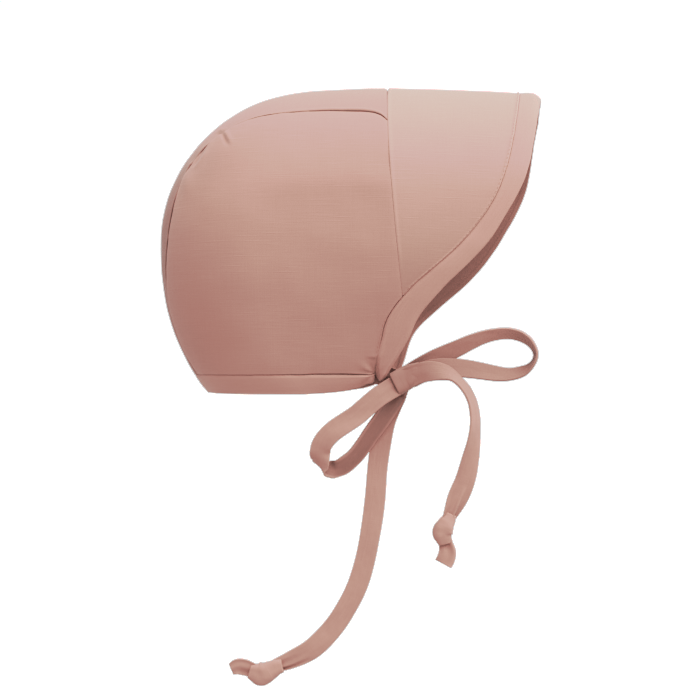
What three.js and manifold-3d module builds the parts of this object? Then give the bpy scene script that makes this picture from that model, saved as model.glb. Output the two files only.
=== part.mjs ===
// A child's brimmed sun bonnet that ties under the chin.
//
// The frame: millimetres, +X to the front (the brim), +Y to the wearer's left, +Z up. The origin is
// inside the top of the crown, on the middle plane, where the head carries the bonnet.
//
// All the sewn cloth lies on one smooth form. A point's depth is how far it lies under the bonnet's
// middle outline, measured straight down under the top and the brim, towards the crown's centre
// behind it, and straight forward at the nape. The form's half width grows with the depth as a
// quarter of an ellipse does, and past archDepth the sides run straight.

import * as THREE from 'three';
import { mergeVertices } from 'three/addons/utils/BufferGeometryUtils.js';
import Module from 'manifold-3d';

const wasm = await Module();
wasm.setup();

// ---- Driving dimensions, in millimetres ----

// The form.
const headHalfWidth = 62;        // half the bonnet's width over the ears
const archDepth = 60;            // depth at which the form reaches its full width
const crownCentreX = 15;         // centre of the round back of the crown
const crownCentreZ = -77;
const crownRadius = 77.2;        // radius of the round back of the crown
const crownTopRise = 3.63;       // how much further the top lies from that centre
const crownBackRise = 0.9;       // and how much further the back does
const topX = 52;                 // where the outline is highest
const topZ = 5.75;
const topFallBack = 0.0014;      // how fast the outline falls behind its highest point, per mm
const topFallFront = 0.0003;     // and in front of it, along the brim
const brimSlope = 0.018;         // the brim's slope just in front of the highest point
const lipX = 140.4;              // from here to its free edge the brim bends down
const lipBend = 0.1;             // how fast it does, per mm
const neckBelow = 83;            // from the crown's centre down to the hem
const neckTuck = 25.5;           // how far the nape is tucked in at the hem
const neckTuckPower = 2.55;
const neckNarrow = 0.24;         // how much narrower the hem is than the ears, as a share
const cornerNarrow = 0.08;       // and how much the front corners draw in beyond that

// The seams.
const seamGap = 0.3;             // between two pieces of cloth at a seam
const brimSeamX = 62.8;          // the brim's seam at the middle of the top
const brimSeamLean = 9.6;        // how far it leans forward at brimSeamReach
const brimSeamReach = 140;
const brimTip = 150.6;           // arch distance at which the brim runs out to a point
const bandEnd = 196;             // arch distance of the front corners
const casingZ = -150.9;          // the seam of the neck band
const hemZ = -161;               // the hem under the ears
const napeHemRise = 2;           // the hem rises at the nape
const cornerHemRise = 5.5;       // and towards the front corners

// On the left, the brim's edge stands out a little further, and its tie draws the cheek's edge back.
const leftBrimPush = {
  line: { most: 1.7, at: 132, reach: 14 },
  edge: { most: 2.2, at: 139, reach: 11 },
};
const leftCheekPull = { most: 5, at: 171, reach: 12 };

// The cloth.
const panelThickness = 1.5;
const brimThickness = 2.2;
const bandThickness = 2.6;       // the folded edge bands
const bandProud = 0.3;           // how far they stand out of the cloth beside them
const ribbonWidth = 10.8;
const ribbonThickness = 1.6;

// ---- Short tables ----

// The edge band of the brim and the cheeks. arch is the distance from the middle of the top, over
// the form; line and edge are how far forward the band's seam and its free edge lie there.
const edgeBand = [
  { arch: 0, line: 134.3, edge: 146 },
  { arch: 30, line: 133.9, edge: 145.2 },
  { arch: 60, line: 131.4, edge: 142 },
  { arch: 85, line: 126.5, edge: 137.4 },
  { arch: 105, line: 117.5, edge: 128 },
  { arch: 125, line: 101.7, edge: 115 },
  { arch: 145, line: 79.6, edge: 95.6 },
  { arch: 160, line: 67.1, edge: 83 },
  { arch: 175, line: 61.9, edge: 75.3 },
  { arch: 187, line: 58.4, edge: 68 },
  { arch: 196, line: 57, edge: 61.2 },
];

// The crown band's half width over the form, by the distance back from the brim's seam.
const crownBandCut = [
  { along: 0, half: 54 },
  { along: 8, half: 49.5 },
  { along: 25, half: 47.5 },
  { along: 55, half: 44 },
  { along: 85, half: 37 },
  { along: 115, half: 32.5 },
  { along: 150, half: 33.5 },
  { along: 172, half: 32 },
  { along: 192, half: 26 },
  { along: 215, half: 22 },
  { along: 245, half: 20 },
];

// Ribbons: x, y, z is the middle of the ribbon, and ax, ay, az points across it. Where a ribbon is
// gathered, wide is the share of its width that is left.
const tieRightRoute = [
  { x: 51, y: -41.3, z: -149.3, ax: 0, ay: 0, az: 1 },
  { x: 57, y: -41.2, z: -149.9, ax: 0.1, ay: 0, az: 1 },
  { x: 63, y: -41.6, z: -150.9, ax: 0.2, ay: 0, az: 1 },
  { x: 70, y: -43, z: -152.5, ax: 0.2, ay: 0, az: 1, wide: 0.8 },
];

const tieLeftRoute = [
  { x: 51, y: 41.3, z: -149.3, ax: 0, ay: 0, az: 1 },
  { x: 56, y: 40.6, z: -150.8, ax: 0.2, ay: -0.1, az: 1 },
  { x: 60.5, y: 36.5, z: -153.4, ax: 0.6, ay: 0.2, az: 0.8 },
  { x: 64, y: 27, z: -156.2, ax: 0.9, ay: 0.25, az: 0.35 },
  { x: 66.5, y: 13, z: -158, ax: 1, ay: 0.15, az: 0 },
  { x: 68.5, y: -3, z: -158.4, ax: 1, ay: 0.1, az: 0 },
  { x: 70.3, y: -19, z: -156.9, ax: 1, ay: 0.1, az: 0.1 },
  { x: 71.8, y: -31, z: -153.9, ax: 1, ay: 0.1, az: 0.2, wide: 0.8 },
  { x: 73.5, y: -43, z: -150.6, ax: 1, ay: 0, az: 0.3, wide: 0.5 },
];

const loopBackRoute = [
  { x: 71, y: -46.5, z: -155.5, ax: -0.45, ay: 0, az: 0.9 },
  { x: 66.2, y: -49.2, z: -158.4, ax: -0.5, ay: 0.05, az: 0.85 },
  { x: 60.5, y: -52, z: -162.1, ax: -0.55, ay: 0.05, az: 0.83 },
  { x: 54.4, y: -53.5, z: -167.3, ax: -0.58, ay: 0, az: 0.81 },
  { x: 49.2, y: -54, z: -171.8, ax: -0.58, ay: 0, az: 0.81 },
  { x: 43.5, y: -54.2, z: -175.6, ax: -0.58, ay: 0, az: 0.81 },
  { x: 38.2, y: -54.2, z: -179.2, ax: -0.62, ay: 0, az: 0.78 },
  { x: 34, y: -54, z: -183, ax: -0.72, ay: 0, az: 0.69 },
  { x: 31.1, y: -53.6, z: -187.4, ax: -0.85, ay: 0, az: 0.5 },
  { x: 30, y: -52.6, z: -192.2, ax: -0.92, ay: 0, az: 0.36 },
  { x: 30.4, y: -50.2, z: -195.5, ax: -0.83, ay: 0, az: 0.54, wide: 0.9 },
  { x: 32, y: -46.8, z: -197.4, ax: -0.68, ay: 0, az: 0.73, wide: 0.9 },
  { x: 33.7, y: -44.2, z: -199.3, ax: -0.75, ay: 0.15, az: 0.7 },
  { x: 38.2, y: -43.2, z: -199.4, ax: -0.5, ay: -0.4, az: 0.75 },
  { x: 43, y: -43, z: -197.4, ax: -0.48, ay: -0.55, az: 0.68 },
  { x: 47.5, y: -43.1, z: -193.6, ax: -0.48, ay: -0.62, az: 0.62 },
  { x: 51.6, y: -43.3, z: -188.4, ax: -0.48, ay: -0.64, az: 0.58 },
  { x: 56, y: -43.6, z: -182, ax: -0.48, ay: -0.62, az: 0.6 },
  { x: 60.6, y: -44, z: -175.6, ax: -0.5, ay: -0.58, az: 0.62 },
  { x: 65.5, y: -44.2, z: -168.6, ax: -0.5, ay: -0.5, az: 0.62 },
  { x: 70.5, y: -44.4, z: -161, ax: -0.5, ay: -0.4, az: 0.62 },
];

const loopFrontRoute = [
  { x: 75, y: -41, z: -151.2, ax: 0.4, ay: 0, az: -0.9 },
  { x: 82, y: -40.6, z: -146.6, ax: 0.35, ay: 0.3, az: -0.88 },
  { x: 88.5, y: -40.8, z: -142.9, ax: 0.32, ay: 0.45, az: -0.83 },
  { x: 95, y: -41.2, z: -139.8, ax: 0.3, ay: 0.6, az: -0.74 },
  { x: 101.5, y: -41.7, z: -136.8, ax: 0.28, ay: 0.72, az: -0.63 },
  { x: 108, y: -42.2, z: -133.7, ax: 0.24, ay: 0.8, az: -0.54 },
  { x: 115, y: -42.5, z: -131, ax: 0.15, ay: 0.85, az: -0.5 },
  { x: 122, y: -42.8, z: -129.4, ax: 0.05, ay: 0.87, az: -0.49 },
  { x: 129, y: -43, z: -129, ax: -0.05, ay: 0.9, az: -0.43 },
  { x: 135, y: -43.1, z: -130.6, ax: -0.15, ay: 0.94, az: -0.3 },
  { x: 140, y: -43.2, z: -134.6, ax: -0.18, ay: 0.97, az: -0.12 },
  { x: 142.3, y: -43.4, z: -140, ax: -0.18, ay: 0.98, az: 0.02 },
  { x: 140.2, y: -43.7, z: -145, ax: -0.14, ay: 0.97, az: 0.18 },
  { x: 135.3, y: -44, z: -148.6, ax: -0.08, ay: 0.9, az: 0.42 },
  { x: 128.5, y: -44.3, z: -150.4, ax: 0, ay: 0.85, az: 0.52 },
  { x: 121, y: -44.6, z: -149.9, ax: 0.05, ay: 0.75, az: 0.66 },
  { x: 113.5, y: -44.9, z: -148.6, ax: 0.05, ay: 0.65, az: 0.76 },
  { x: 106, y: -45.2, z: -147.4, ax: 0, ay: 0.5, az: 0.86 },
  { x: 98.5, y: -45.6, z: -146.9, ax: 0, ay: 0.4, az: 0.92 },
  { x: 90.5, y: -46, z: -147.4, ax: 0.1, ay: 0.25, az: 0.96 },
  { x: 83, y: -46.2, z: -149.5, ax: 0.3, ay: 0.1, az: 0.95 },
  { x: 77, y: -46, z: -152.3, ax: 0.35, ay: 0, az: 0.93 },
];

const tailBackRoute = [
  { x: 72.5, y: -42.4, z: -156.6, ax: 0.9, ay: 0, az: 0.4, wide: 0.8 },
  { x: 69.2, y: -39.4, z: -162.4, ax: 0.92, ay: 0.05, az: 0.4 },
  { x: 66, y: -37.6, z: -168.4, ax: 0.94, ay: 0.1, az: 0.36 },
  { x: 63.2, y: -37.4, z: -175.5, ax: 0.96, ay: 0.12, az: 0.28 },
  { x: 60.9, y: -37.2, z: -186.5, ax: 0.98, ay: 0.1, az: 0.15 },
  { x: 59.2, y: -39.2, z: -200, ax: 1, ay: 0.05, az: 0.08 },
  { x: 58.2, y: -41.6, z: -215, ax: 1, ay: 0, az: 0.08 },
  { x: 56.4, y: -43.8, z: -230, ax: 1, ay: -0.05, az: 0.12 },
  { x: 53.5, y: -44.8, z: -246, ax: 0.98, ay: -0.1, az: -0.22 },
  { x: 49.5, y: -45.3, z: -260, ax: 0.93, ay: -0.1, az: -0.35 },
  { x: 44, y: -45.6, z: -271.5, ax: 0.86, ay: -0.05, az: -0.5 },
  { x: 36.5, y: -45.8, z: -283, ax: 0.76, ay: 0, az: -0.65 },
  { x: 26, y: -46.1, z: -293.8, ax: 0.55, ay: 0.1, az: -0.83 },
  { x: 15, y: -46.5, z: -300, ax: 0.3, ay: 0.15, az: -0.94, wide: 0.9 },
  { x: 4, y: -47, z: -304.4, ax: 0.3, ay: 0.1, az: -0.95, wide: 0.6 },
];

const tailFrontRoute = [
  { x: 75.5, y: -48.5, z: -152.8, ax: 0.42, ay: 0, az: -0.9 },
  { x: 81.8, y: -51.2, z: -149.8, ax: 0.35, ay: -0.05, az: -0.93 },
  { x: 87.8, y: -52.8, z: -148.7, ax: 0.1, ay: -0.3, az: -0.94 },
  { x: 94.8, y: -54.2, z: -149.4, ax: -0.13, ay: -0.68, az: -0.72 },
  { x: 101, y: -55.5, z: -152.2, ax: -0.2, ay: -0.92, az: -0.32 },
  { x: 106.3, y: -56.5, z: -157.8, ax: -0.27, ay: -0.94, az: -0.17 },
  { x: 109.8, y: -57, z: -165.2, ax: -0.33, ay: -0.93, az: -0.06 },
  { x: 111, y: -56.8, z: -174, ax: -0.42, ay: -0.9, az: 0 },
  { x: 110.2, y: -56, z: -184.3, ax: -0.6, ay: -0.8, az: 0.03 },
  { x: 108.4, y: -55, z: -194.6, ax: -0.8, ay: -0.58, az: 0.12 },
  { x: 105.7, y: -54, z: -205, ax: -0.93, ay: -0.28, az: 0.22 },
  { x: 101.4, y: -53.4, z: -215.2, ax: -0.9, ay: -0.3, az: 0.3 },
  { x: 96, y: -53, z: -227, ax: -0.8, ay: -0.55, az: 0.3, wide: 0.6 },
];

const flapBackRoute = [
  { x: 3, y: -47, z: -306.5, ax: 0.1, ay: 0, az: -1 },
  { x: -6, y: -47.5, z: -305.8, ax: 0, ay: 0.1, az: -1 },
  { x: -12.5, y: -48, z: -304.2, ax: -0.2, ay: 0.1, az: -1 },
  { x: -16.5, y: -48.2, z: -304.6, ax: -0.2, ay: 0.1, az: -1 },
];

const flapFrontRoute = [
  { x: 94.2, y: -53, z: -230, ax: -1, ay: 0, az: 0.1 },
  { x: 94.8, y: -53.2, z: -238, ax: -1, ay: -0.1, az: 0.1 },
  { x: 94.6, y: -53.6, z: -244.5, ax: -1, ay: -0.1, az: 0.2 },
  { x: 93.6, y: -53.8, z: -249.5, ax: -0.95, ay: -0.1, az: 0.3 },
];

// The knots: centre, half sizes and the turn about Y that sets their long side.
const bowKnotForm = { x: 73.5, y: -44, z: -154.4, halfX: 7, halfY: 5.6, halfZ: 8.6, turn: 25 };
const tailKnotBackForm = { x: 1.2, y: -47, z: -306, halfX: 7, halfY: 5, halfZ: 6.4, turn: 0 };
const tailKnotFrontForm = { x: 94.4, y: -53, z: -230.6, halfX: 6, halfY: 4.8, halfZ: 7, turn: 15 };

// ---- Helpers ----

const clamp01 = (value) => Math.min(1, Math.max(0, value));

// Reads a column of a table at any key, smoothly: a cubic through the rows.
function readTable(table, key, column, at) {
  const last = table.length - 1;
  let i = 0;
  while (i < last - 1 && at > table[i + 1][key]) i += 1;
  const slope = (k) => {
    const a = table[Math.max(k - 1, 0)];
    const b = table[Math.min(k + 1, last)];
    return k === 0 ? 0 : (b[column] - a[column]) / (b[key] - a[key]);
  };
  const span = table[i + 1][key] - table[i][key];
  const s = (at - table[i][key]) / span;
  const stay = 1 - s;
  return (
    (1 + 2 * s) * stay * stay * table[i][column] +
    s * stay * stay * span * slope(i) +
    s * s * (3 - 2 * s) * table[i + 1][column] -
    s * s * stay * span * slope(i + 1)
  );
}

// ---- The form ----

function topLine(x) {
  const front = x - topX;
  if (front < 0) return topZ - topFallBack * front ** 2;
  return topZ - brimSlope * front - topFallFront * front ** 2 - lipBend * Math.max(0, x - lipX) ** 2;
}

function napeLine(z) {
  const below = clamp01((crownCentreZ - z) / neckBelow);
  return crownCentreX - crownRadius - crownBackRise + neckTuck * below ** neckTuckPower;
}

function backRadius(turn) {
  const towardsBack = clamp01((turn - 0.9) / (Math.PI / 2 - 0.9));
  const rise = crownBackRise * towardsBack ** 2 * (3 - 2 * towardsBack);
  return crownRadius + rise + crownTopRise * Math.max(0, 1 - turn) ** 2;
}

function depthUnder(x, z) {
  if (z < crownCentreZ) return x - napeLine(z);
  if (x >= crownCentreX) return topLine(x) - z;
  const back = crownCentreX - x;
  const up = z - crownCentreZ;
  return backRadius(Math.atan2(back, up)) - Math.hypot(back, up);
}

function widthAt(x, z) {
  const low = clamp01((crownCentreZ - z) / neckBelow) ** 2;
  const forward = clamp01((x - 10) / 50) ** 2;
  return headHalfWidth * (1 - neckNarrow * low - cornerNarrow * low * forward);
}

// The arch runs from the outline down a quarter of an ellipse, and then straight. At a distance
// over it from the outline, these are the depth and the share of the full width.
const archRadius = (headHalfWidth + archDepth) / 2;
const archQuarter = (archRadius * Math.PI) / 2;

function archDrop(distance) {
  const over = Math.abs(distance);
  if (over > archQuarter) return archDepth + over - archQuarter;
  return archDepth * (1 - Math.cos(over / archRadius));
}

function archShare(distance) {
  return Math.sign(distance) * Math.sin(Math.min(Math.abs(distance) / archRadius, Math.PI / 2));
}

// A point under the top or the brim, x forward and a distance over the arch.
function topPoint(x, distance) {
  const z = topLine(x) - archDrop(distance);
  return new THREE.Vector3(x, widthAt(x, z) * archShare(distance), z);
}

// A point of the neck, at a height and a distance round from the nape.
function napePoint(z, distance) {
  const x = napeLine(z) + archDrop(distance);
  return new THREE.Vector3(x, widthAt(x, z) * archShare(distance), z);
}

// The brim's seam, by the distance over the arch: how far forward it lies.
function brimSeam(arch) {
  return brimSeamX + brimSeamLean * (Math.abs(arch) / brimSeamReach) ** 1.5;
}

// A point by the distance back along the outline from the brim's seam.
const topRun = brimSeamX - crownCentreX;
const backRun = ((crownRadius + crownTopRise / 3) * Math.PI) / 2;
const napeRun = crownCentreZ - casingZ;
const outlineRun = topRun + backRun + napeRun;

function outlinePoint(along, distance) {
  if (along < topRun) {
    const lean = (brimSeam(distance) - brimSeamX) * (1 - along / topRun);
    return topPoint(brimSeamX - along + lean, distance);
  }
  if (along > topRun + backRun) return napePoint(crownCentreZ - (along - topRun - backRun), distance);
  const turn = ((along - topRun) / backRun) * (Math.PI / 2);
  const radius = backRadius(turn) - archDrop(distance);
  const x = crownCentreX - radius * Math.sin(turn);
  const z = crownCentreZ + radius * Math.cos(turn);
  return new THREE.Vector3(x, widthAt(x, z) * archShare(distance), z);
}

// A point on the side wall, given in side view.
function sidePoint(x, z, side) {
  const share = 1 - clamp01(depthUnder(x, z) / archDepth);
  return new THREE.Vector3(x, side * widthAt(x, z) * Math.sqrt(1 - share * share), z);
}

// The form's outward direction at a point on it.
function formLevel(x, y, z) {
  const share = 1 - clamp01(depthUnder(x, z) / archDepth);
  return share * share + (y / widthAt(x, z)) ** 2;
}

function outward(point) {
  const step = 0.5;
  const { x, y, z } = point;
  return new THREE.Vector3(
    formLevel(x + step, y, z) - formLevel(x - step, y, z),
    formLevel(x, y + step, z) - formLevel(x, y - step, z),
    formLevel(x, y, z + step) - formLevel(x, y, z - step),
  ).normalize();
}

// ---- Seam lines ----

const swell = (shape, arch) => shape.most * Math.exp(-(((arch - shape.at) / shape.reach) ** 2));

function bandColumn(column, arch) {
  const straight = readTable(edgeBand, 'arch', column, Math.abs(arch));
  if (arch <= 0) return straight;
  return straight + swell(leftBrimPush[column], arch) - swell(leftCheekPull, arch);
}

function hemLine(x) {
  const atNape = clamp01((-22 - x) / 18) ** 2;
  const atCorner = clamp01((x - 36) / 19) ** 2;
  return hemZ + napeHemRise * atNape + cornerHemRise * atCorner;
}

// ---- Making pieces ----

// A box of one layer, bent so that its first two sides lie along a piece and its third is the
// cloth's thickness. place(u, v, w) takes each from 0 to 1.
function bentBox(alongSteps, acrossSteps, place) {
  const box = new THREE.BoxGeometry(1, 1, 1, alongSteps, acrossSteps, 1);
  const position = box.attributes.position;
  for (let i = 0; i < position.count; i += 1) {
    const at = place(position.getX(i) + 0.5, position.getY(i) + 0.5, position.getZ(i) + 0.5);
    position.setXYZ(i, at.x, at.y, at.z);
  }
  return wound(box);
}

// Merges the shared corners and makes every face point out of the solid.
function wound(geometry) {
  geometry.deleteAttribute('normal');
  geometry.deleteAttribute('uv');
  const solid = mergeVertices(geometry, 1e-4);
  solid.clearGroups();
  const index = solid.index;
  const [a, b, c] = [new THREE.Vector3(), new THREE.Vector3(), new THREE.Vector3()];
  let volume = 0;
  for (let i = 0; i < index.count; i += 3) {
    a.fromBufferAttribute(solid.attributes.position, index.getX(i));
    b.fromBufferAttribute(solid.attributes.position, index.getX(i + 1));
    c.fromBufferAttribute(solid.attributes.position, index.getX(i + 2));
    volume += a.dot(b.cross(c)) / 6;
  }
  for (let i = 0; volume < 0 && i < index.count; i += 3) {
    const second = index.getX(i + 1);
    index.setX(i + 1, index.getX(i + 2));
    index.setX(i + 2, second);
  }
  return solid;
}

// Cloth on the form: surface(u, v) is a point on it, and the wall reaches inward from there.
function clothPiece(alongSteps, acrossSteps, thickness, proud, surface) {
  return bentBox(alongSteps, acrossSteps, (u, v, w) => {
    const point = surface(u, v);
    return point.addScaledVector(outward(point), proud - (1 - w) * thickness);
  });
}

// A flat ribbon along a route, straight across its width.
function ribbon(route, width, steps) {
  const middle = new THREE.CatmullRomCurve3(route.map((r) => new THREE.Vector3(r.x, r.y, r.z)));
  const across = new THREE.CatmullRomCurve3(route.map((r) => new THREE.Vector3(r.ax, r.ay, r.az)));
  const share = new THREE.SplineCurve(route.map((r, i) => new THREE.Vector2(i, r.wide ?? 1)));
  return bentBox(steps, 1, (u, v, w) => {
    const run = middle.getTangent(u);
    const side = across.getPoint(u);
    side.addScaledVector(run, -side.dot(run)).normalize();
    const face = new THREE.Vector3().crossVectors(run, side);
    return middle
      .getPoint(u)
      .addScaledVector(side, (v - 0.5) * width * share.getPoint(u).y)
      .addScaledVector(face, (w - 0.5) * ribbonThickness);
  });
}

// A round knot, made larger all over by grow.
function knot(form, grow = 0) {
  const ball = new THREE.SphereGeometry(1, 18, 12);
  ball.scale(form.halfX + grow, form.halfY + grow, form.halfZ + grow);
  ball.rotateY(THREE.MathUtils.degToRad(form.turn));
  ball.translate(form.x, form.y, form.z);
  return wound(ball);
}

function toSolid(geometry) {
  return new wasm.Manifold(
    new wasm.Mesh({
      numProp: 3,
      vertProperties: geometry.attributes.position.array,
      triVerts: Uint32Array.from(geometry.index.array),
    }),
  );
}

function toGeometry(solid) {
  const mesh = solid.getMesh();
  const geometry = new THREE.BufferGeometry();
  geometry.setAttribute('position', new THREE.BufferAttribute(mesh.vertProperties, 3));
  geometry.setIndex(new THREE.BufferAttribute(mesh.triVerts, 1));
  return geometry;
}

// A ribbon that stops just short of the knots it goes into.
function ribbonUpTo(route, steps, ...knots) {
  let solid = toSolid(ribbon(route, ribbonWidth, steps));
  for (const form of knots) solid = solid.subtract(toSolid(knot(form, seamGap)));
  return toGeometry(solid);
}

// A knot with the short flared end of its ribbon, as one solid.
function endKnot(form, flapRoute) {
  return toGeometry(toSolid(knot(form)).add(toSolid(ribbon(flapRoute, ribbonWidth * 0.8, 6))));
}

// ---- The sewn pieces ----

// A side panel is filled in from its four sides: the crown band's seam over the top (far), the same
// seam down the back, the neck band's seam (near) and the front, which is the brim's seam and then
// the edge band's.
function sidePanel(side) {
  const half = (along) => readTable(crownBandCut, 'along', 'half', along) + seamGap / 2;
  const flat = (point) => new THREE.Vector2(point.x, point.z);
  const topBack = topRun + backRun * 0.52;
  const frontTop = half(seamGap);
  const frontBottom = archQuarter + topLine(brimSeamX) - archDepth - (casingZ + seamGap / 2);
  const seamPoint = (along) => flat(outlinePoint(along, half(along)));
  const frontPoint = (arch) => {
    const x = Math.min(brimSeam(arch), bandColumn('line', side * arch)) - seamGap;
    return new THREE.Vector2(x, topLine(x) - archDrop(arch));
  };
  const top = (u) => seamPoint(topBack + (seamGap / 2 - topBack) * u);
  const back = (v) => seamPoint(outlineRun - seamGap / 2 + (topBack - outlineRun + seamGap / 2) * v);
  const front = (v) => frontPoint(frontBottom + (frontTop - frontBottom) * v);
  const bottom = (u) => back(0).lerp(front(0), u);
  const surface = (u, v) => {
    const point = bottom(u).multiplyScalar(1 - v).addScaledVector(top(u), v);
    point.addScaledVector(back(v), 1 - u).addScaledVector(front(v), u);
    point.addScaledVector(back(0), -(1 - u) * (1 - v)).addScaledVector(front(0), -u * (1 - v));
    point.addScaledVector(back(1), -(1 - u) * v).addScaledVector(front(1), -u * v);
    return sidePoint(point.x, point.y, side);
  };
  return clothPiece(16, 24, panelThickness, 0, surface);
}

function crownBand() {
  const start = seamGap / 2;
  const run = outlineRun - seamGap - start;
  return clothPiece(40, 6, panelThickness, 0, (u, v) => {
    const along = start + run * u;
    const half = readTable(crownBandCut, 'along', 'half', along) - seamGap / 2;
    return outlinePoint(along, (2 * v - 1) * half);
  });
}

function brim() {
  return clothPiece(56, 6, brimThickness, 0, (u, v) => {
    const arch = (2 * u - 1) * brimTip;
    const from = brimSeam(arch) + seamGap / 2;
    const to = bandColumn('line', arch) - seamGap / 2;
    return topPoint(from + (to - from) * v, arch);
  });
}

function frontBand() {
  return clothPiece(72, 3, bandThickness, bandProud, (u, v) => {
    const arch = (2 * u - 1) * bandEnd;
    const from = bandColumn('line', arch) + seamGap / 2;
    const to = bandColumn('edge', arch);
    return topPoint(from + (to - from) * v, arch);
  });
}

// The neck band runs round from one front corner to the other, between its casing seam and the hem,
// and stops short of the edge band at both ends.
function neckBand() {
  const seamZ = casingZ - seamGap / 2;
  const endZ = hemLine(edgeBand.at(-1).edge);
  const frontEnd = (v) => {
    const z = seamZ + (endZ - seamZ) * (1 - v);
    const arch = archQuarter - archDepth + topZ - z;
    return bandColumn('line', -Math.min(arch, bandEnd)) - seamGap * (3 - 2 * v);
  };
  return clothPiece(44, 1, bandThickness, bandProud, (u, v) => {
    const reach = (z) => archQuarter - archDepth + frontEnd(v) - napeLine(z);
    const x = napeLine(seamZ) + archDrop((2 * u - 1) * reach(seamZ));
    const z = seamZ + (hemLine(x) - seamZ) * (1 - v);
    return napePoint(z, (2 * u - 1) * reach(z));
  });
}

// ---- The bonnet ----

const cloth = 0xc3968a;
const clothLight = 0xc99d90;
const clothDeep = 0xba8b80;

function piece(name, colour, geometry) {
  const material = new THREE.MeshStandardMaterial({ color: colour, roughness: 0.9, metalness: 0 });
  geometry.computeVertexNormals();
  const mesh = new THREE.Mesh(geometry, material);
  mesh.name = name;
  return mesh;
}

const crown = new THREE.Group();
crown.add(piece('side_panel_right', cloth, sidePanel(-1)));
crown.add(piece('side_panel_left', cloth, sidePanel(1)));
crown.add(piece('crown_band', clothLight, crownBand()));
crown.add(piece('neck_band', clothDeep, neckBand()));

const visor = new THREE.Group();
visor.add(piece('brim', clothLight, brim()));
visor.add(piece('front_band', clothDeep, frontBand()));

const bow = new THREE.Group();
bow.add(piece('bow_knot', cloth, knot(bowKnotForm)));
bow.add(piece('tie_right', cloth, ribbonUpTo(tieRightRoute, 6, bowKnotForm)));
bow.add(piece('tie_left', cloth, ribbonUpTo(tieLeftRoute, 20, bowKnotForm)));
bow.add(piece('bow_loop_back', clothLight, ribbonUpTo(loopBackRoute, 36, bowKnotForm)));
bow.add(piece('bow_loop_front', clothLight, ribbonUpTo(loopFrontRoute, 40, bowKnotForm)));
bow.add(piece('tail_back', cloth, ribbonUpTo(tailBackRoute, 26, bowKnotForm, tailKnotBackForm)));
bow.add(piece('tail_front', cloth, ribbonUpTo(tailFrontRoute, 26, bowKnotForm, tailKnotFrontForm)));
bow.add(piece('tail_knot_back', clothDeep, endKnot(tailKnotBackForm, flapBackRoute)));
bow.add(piece('tail_knot_front', clothDeep, endKnot(tailKnotFrontForm, flapFrontRoute)));

const group = new THREE.Group();
group.add(crown, visor, bow);

export default group;
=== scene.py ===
# %% [markdown]
# A child's sun bonnet, finished in Blender
#
# The bonnet is sewn from thin linen: two side panels, a band over the top and down the back, a wide
# brim, a binding round the face, a neck band, and two ties knotted in a bow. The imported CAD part
# gives every piece its place. Here each gets real cloth: turned seams, puckers, stitches and a
# weave. Lengths are in metres, apart from the tables in millimetres. +X is the front, +Y the
# wearer's left and +Z up.

import math

import bmesh
import bpy
import numpy as np
from mathutils import Matrix, Vector, noise


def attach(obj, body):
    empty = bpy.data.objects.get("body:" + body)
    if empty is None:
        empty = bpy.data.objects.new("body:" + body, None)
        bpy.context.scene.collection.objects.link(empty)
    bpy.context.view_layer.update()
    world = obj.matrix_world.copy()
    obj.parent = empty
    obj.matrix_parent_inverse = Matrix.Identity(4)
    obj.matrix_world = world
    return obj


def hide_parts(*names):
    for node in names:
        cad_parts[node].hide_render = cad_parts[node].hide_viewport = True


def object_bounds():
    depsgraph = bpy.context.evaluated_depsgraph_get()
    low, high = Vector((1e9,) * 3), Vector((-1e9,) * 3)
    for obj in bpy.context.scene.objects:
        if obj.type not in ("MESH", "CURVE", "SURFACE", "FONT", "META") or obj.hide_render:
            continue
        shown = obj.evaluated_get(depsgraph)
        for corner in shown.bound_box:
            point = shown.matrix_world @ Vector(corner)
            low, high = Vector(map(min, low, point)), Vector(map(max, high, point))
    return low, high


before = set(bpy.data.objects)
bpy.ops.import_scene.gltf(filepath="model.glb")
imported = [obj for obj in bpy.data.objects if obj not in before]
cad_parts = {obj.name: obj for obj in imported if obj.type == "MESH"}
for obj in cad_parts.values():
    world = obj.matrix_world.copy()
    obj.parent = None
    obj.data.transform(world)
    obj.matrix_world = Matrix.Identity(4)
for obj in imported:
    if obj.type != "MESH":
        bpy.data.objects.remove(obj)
cad_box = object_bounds()
cad_low, cad_high = Vector(cad_box[0]), Vector(cad_box[1])
print("CAD box", tuple(round(side, 4) for side in cad_high - cad_low), "with", len(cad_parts), "nodes")


def add_object(name, data):
    """A new object in the scene."""
    thing = bpy.data.objects.new(name, data)
    bpy.context.scene.collection.objects.link(thing)
    return thing


# %% [markdown]
# The camera comes first, because the ties are checked against what it sees. It stands a metre from
# the bonnet's right side, level with it and turned a little to the front, so the far edge of the
# brim shows below the near one.

# %% Camera
view_turn = math.radians(5)
view_tilt = math.radians(-0.5)
view_distance = 1.0
view_height = 0.385             # what the frame takes in at the bonnet's middle plane
sensor_width = 36
aim = Vector((0.04125, 0, -0.1372))

towards_camera = Vector((
    math.sin(view_turn) * math.cos(view_tilt),
    -math.cos(view_turn) * math.cos(view_tilt),
    math.sin(view_tilt),
))
camera_data = bpy.data.cameras.new("studio_camera")
camera_data.sensor_width = sensor_width
camera_data.lens = sensor_width * view_distance / view_height
camera = add_object("studio_camera", camera_data)
camera.location = aim + towards_camera * view_distance
camera.rotation_euler = (-towards_camera).to_track_quat("-Z", "Y").to_euler()
bpy.context.scene.camera = camera
print("lens", round(camera_data.lens, 1), "mm")

# %% [markdown]
# Both ties are flat strips of linen, folded and edge-stitched. Such a strip bends easily across its
# face and hardly at all across its width, so a curve with a bevel would twist where the real one
# folds. Each is a sheet wrapped round a flat section instead, carried along the CAD part's own route.
# A route has the middle of the strip and the direction across it at each point.

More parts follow.
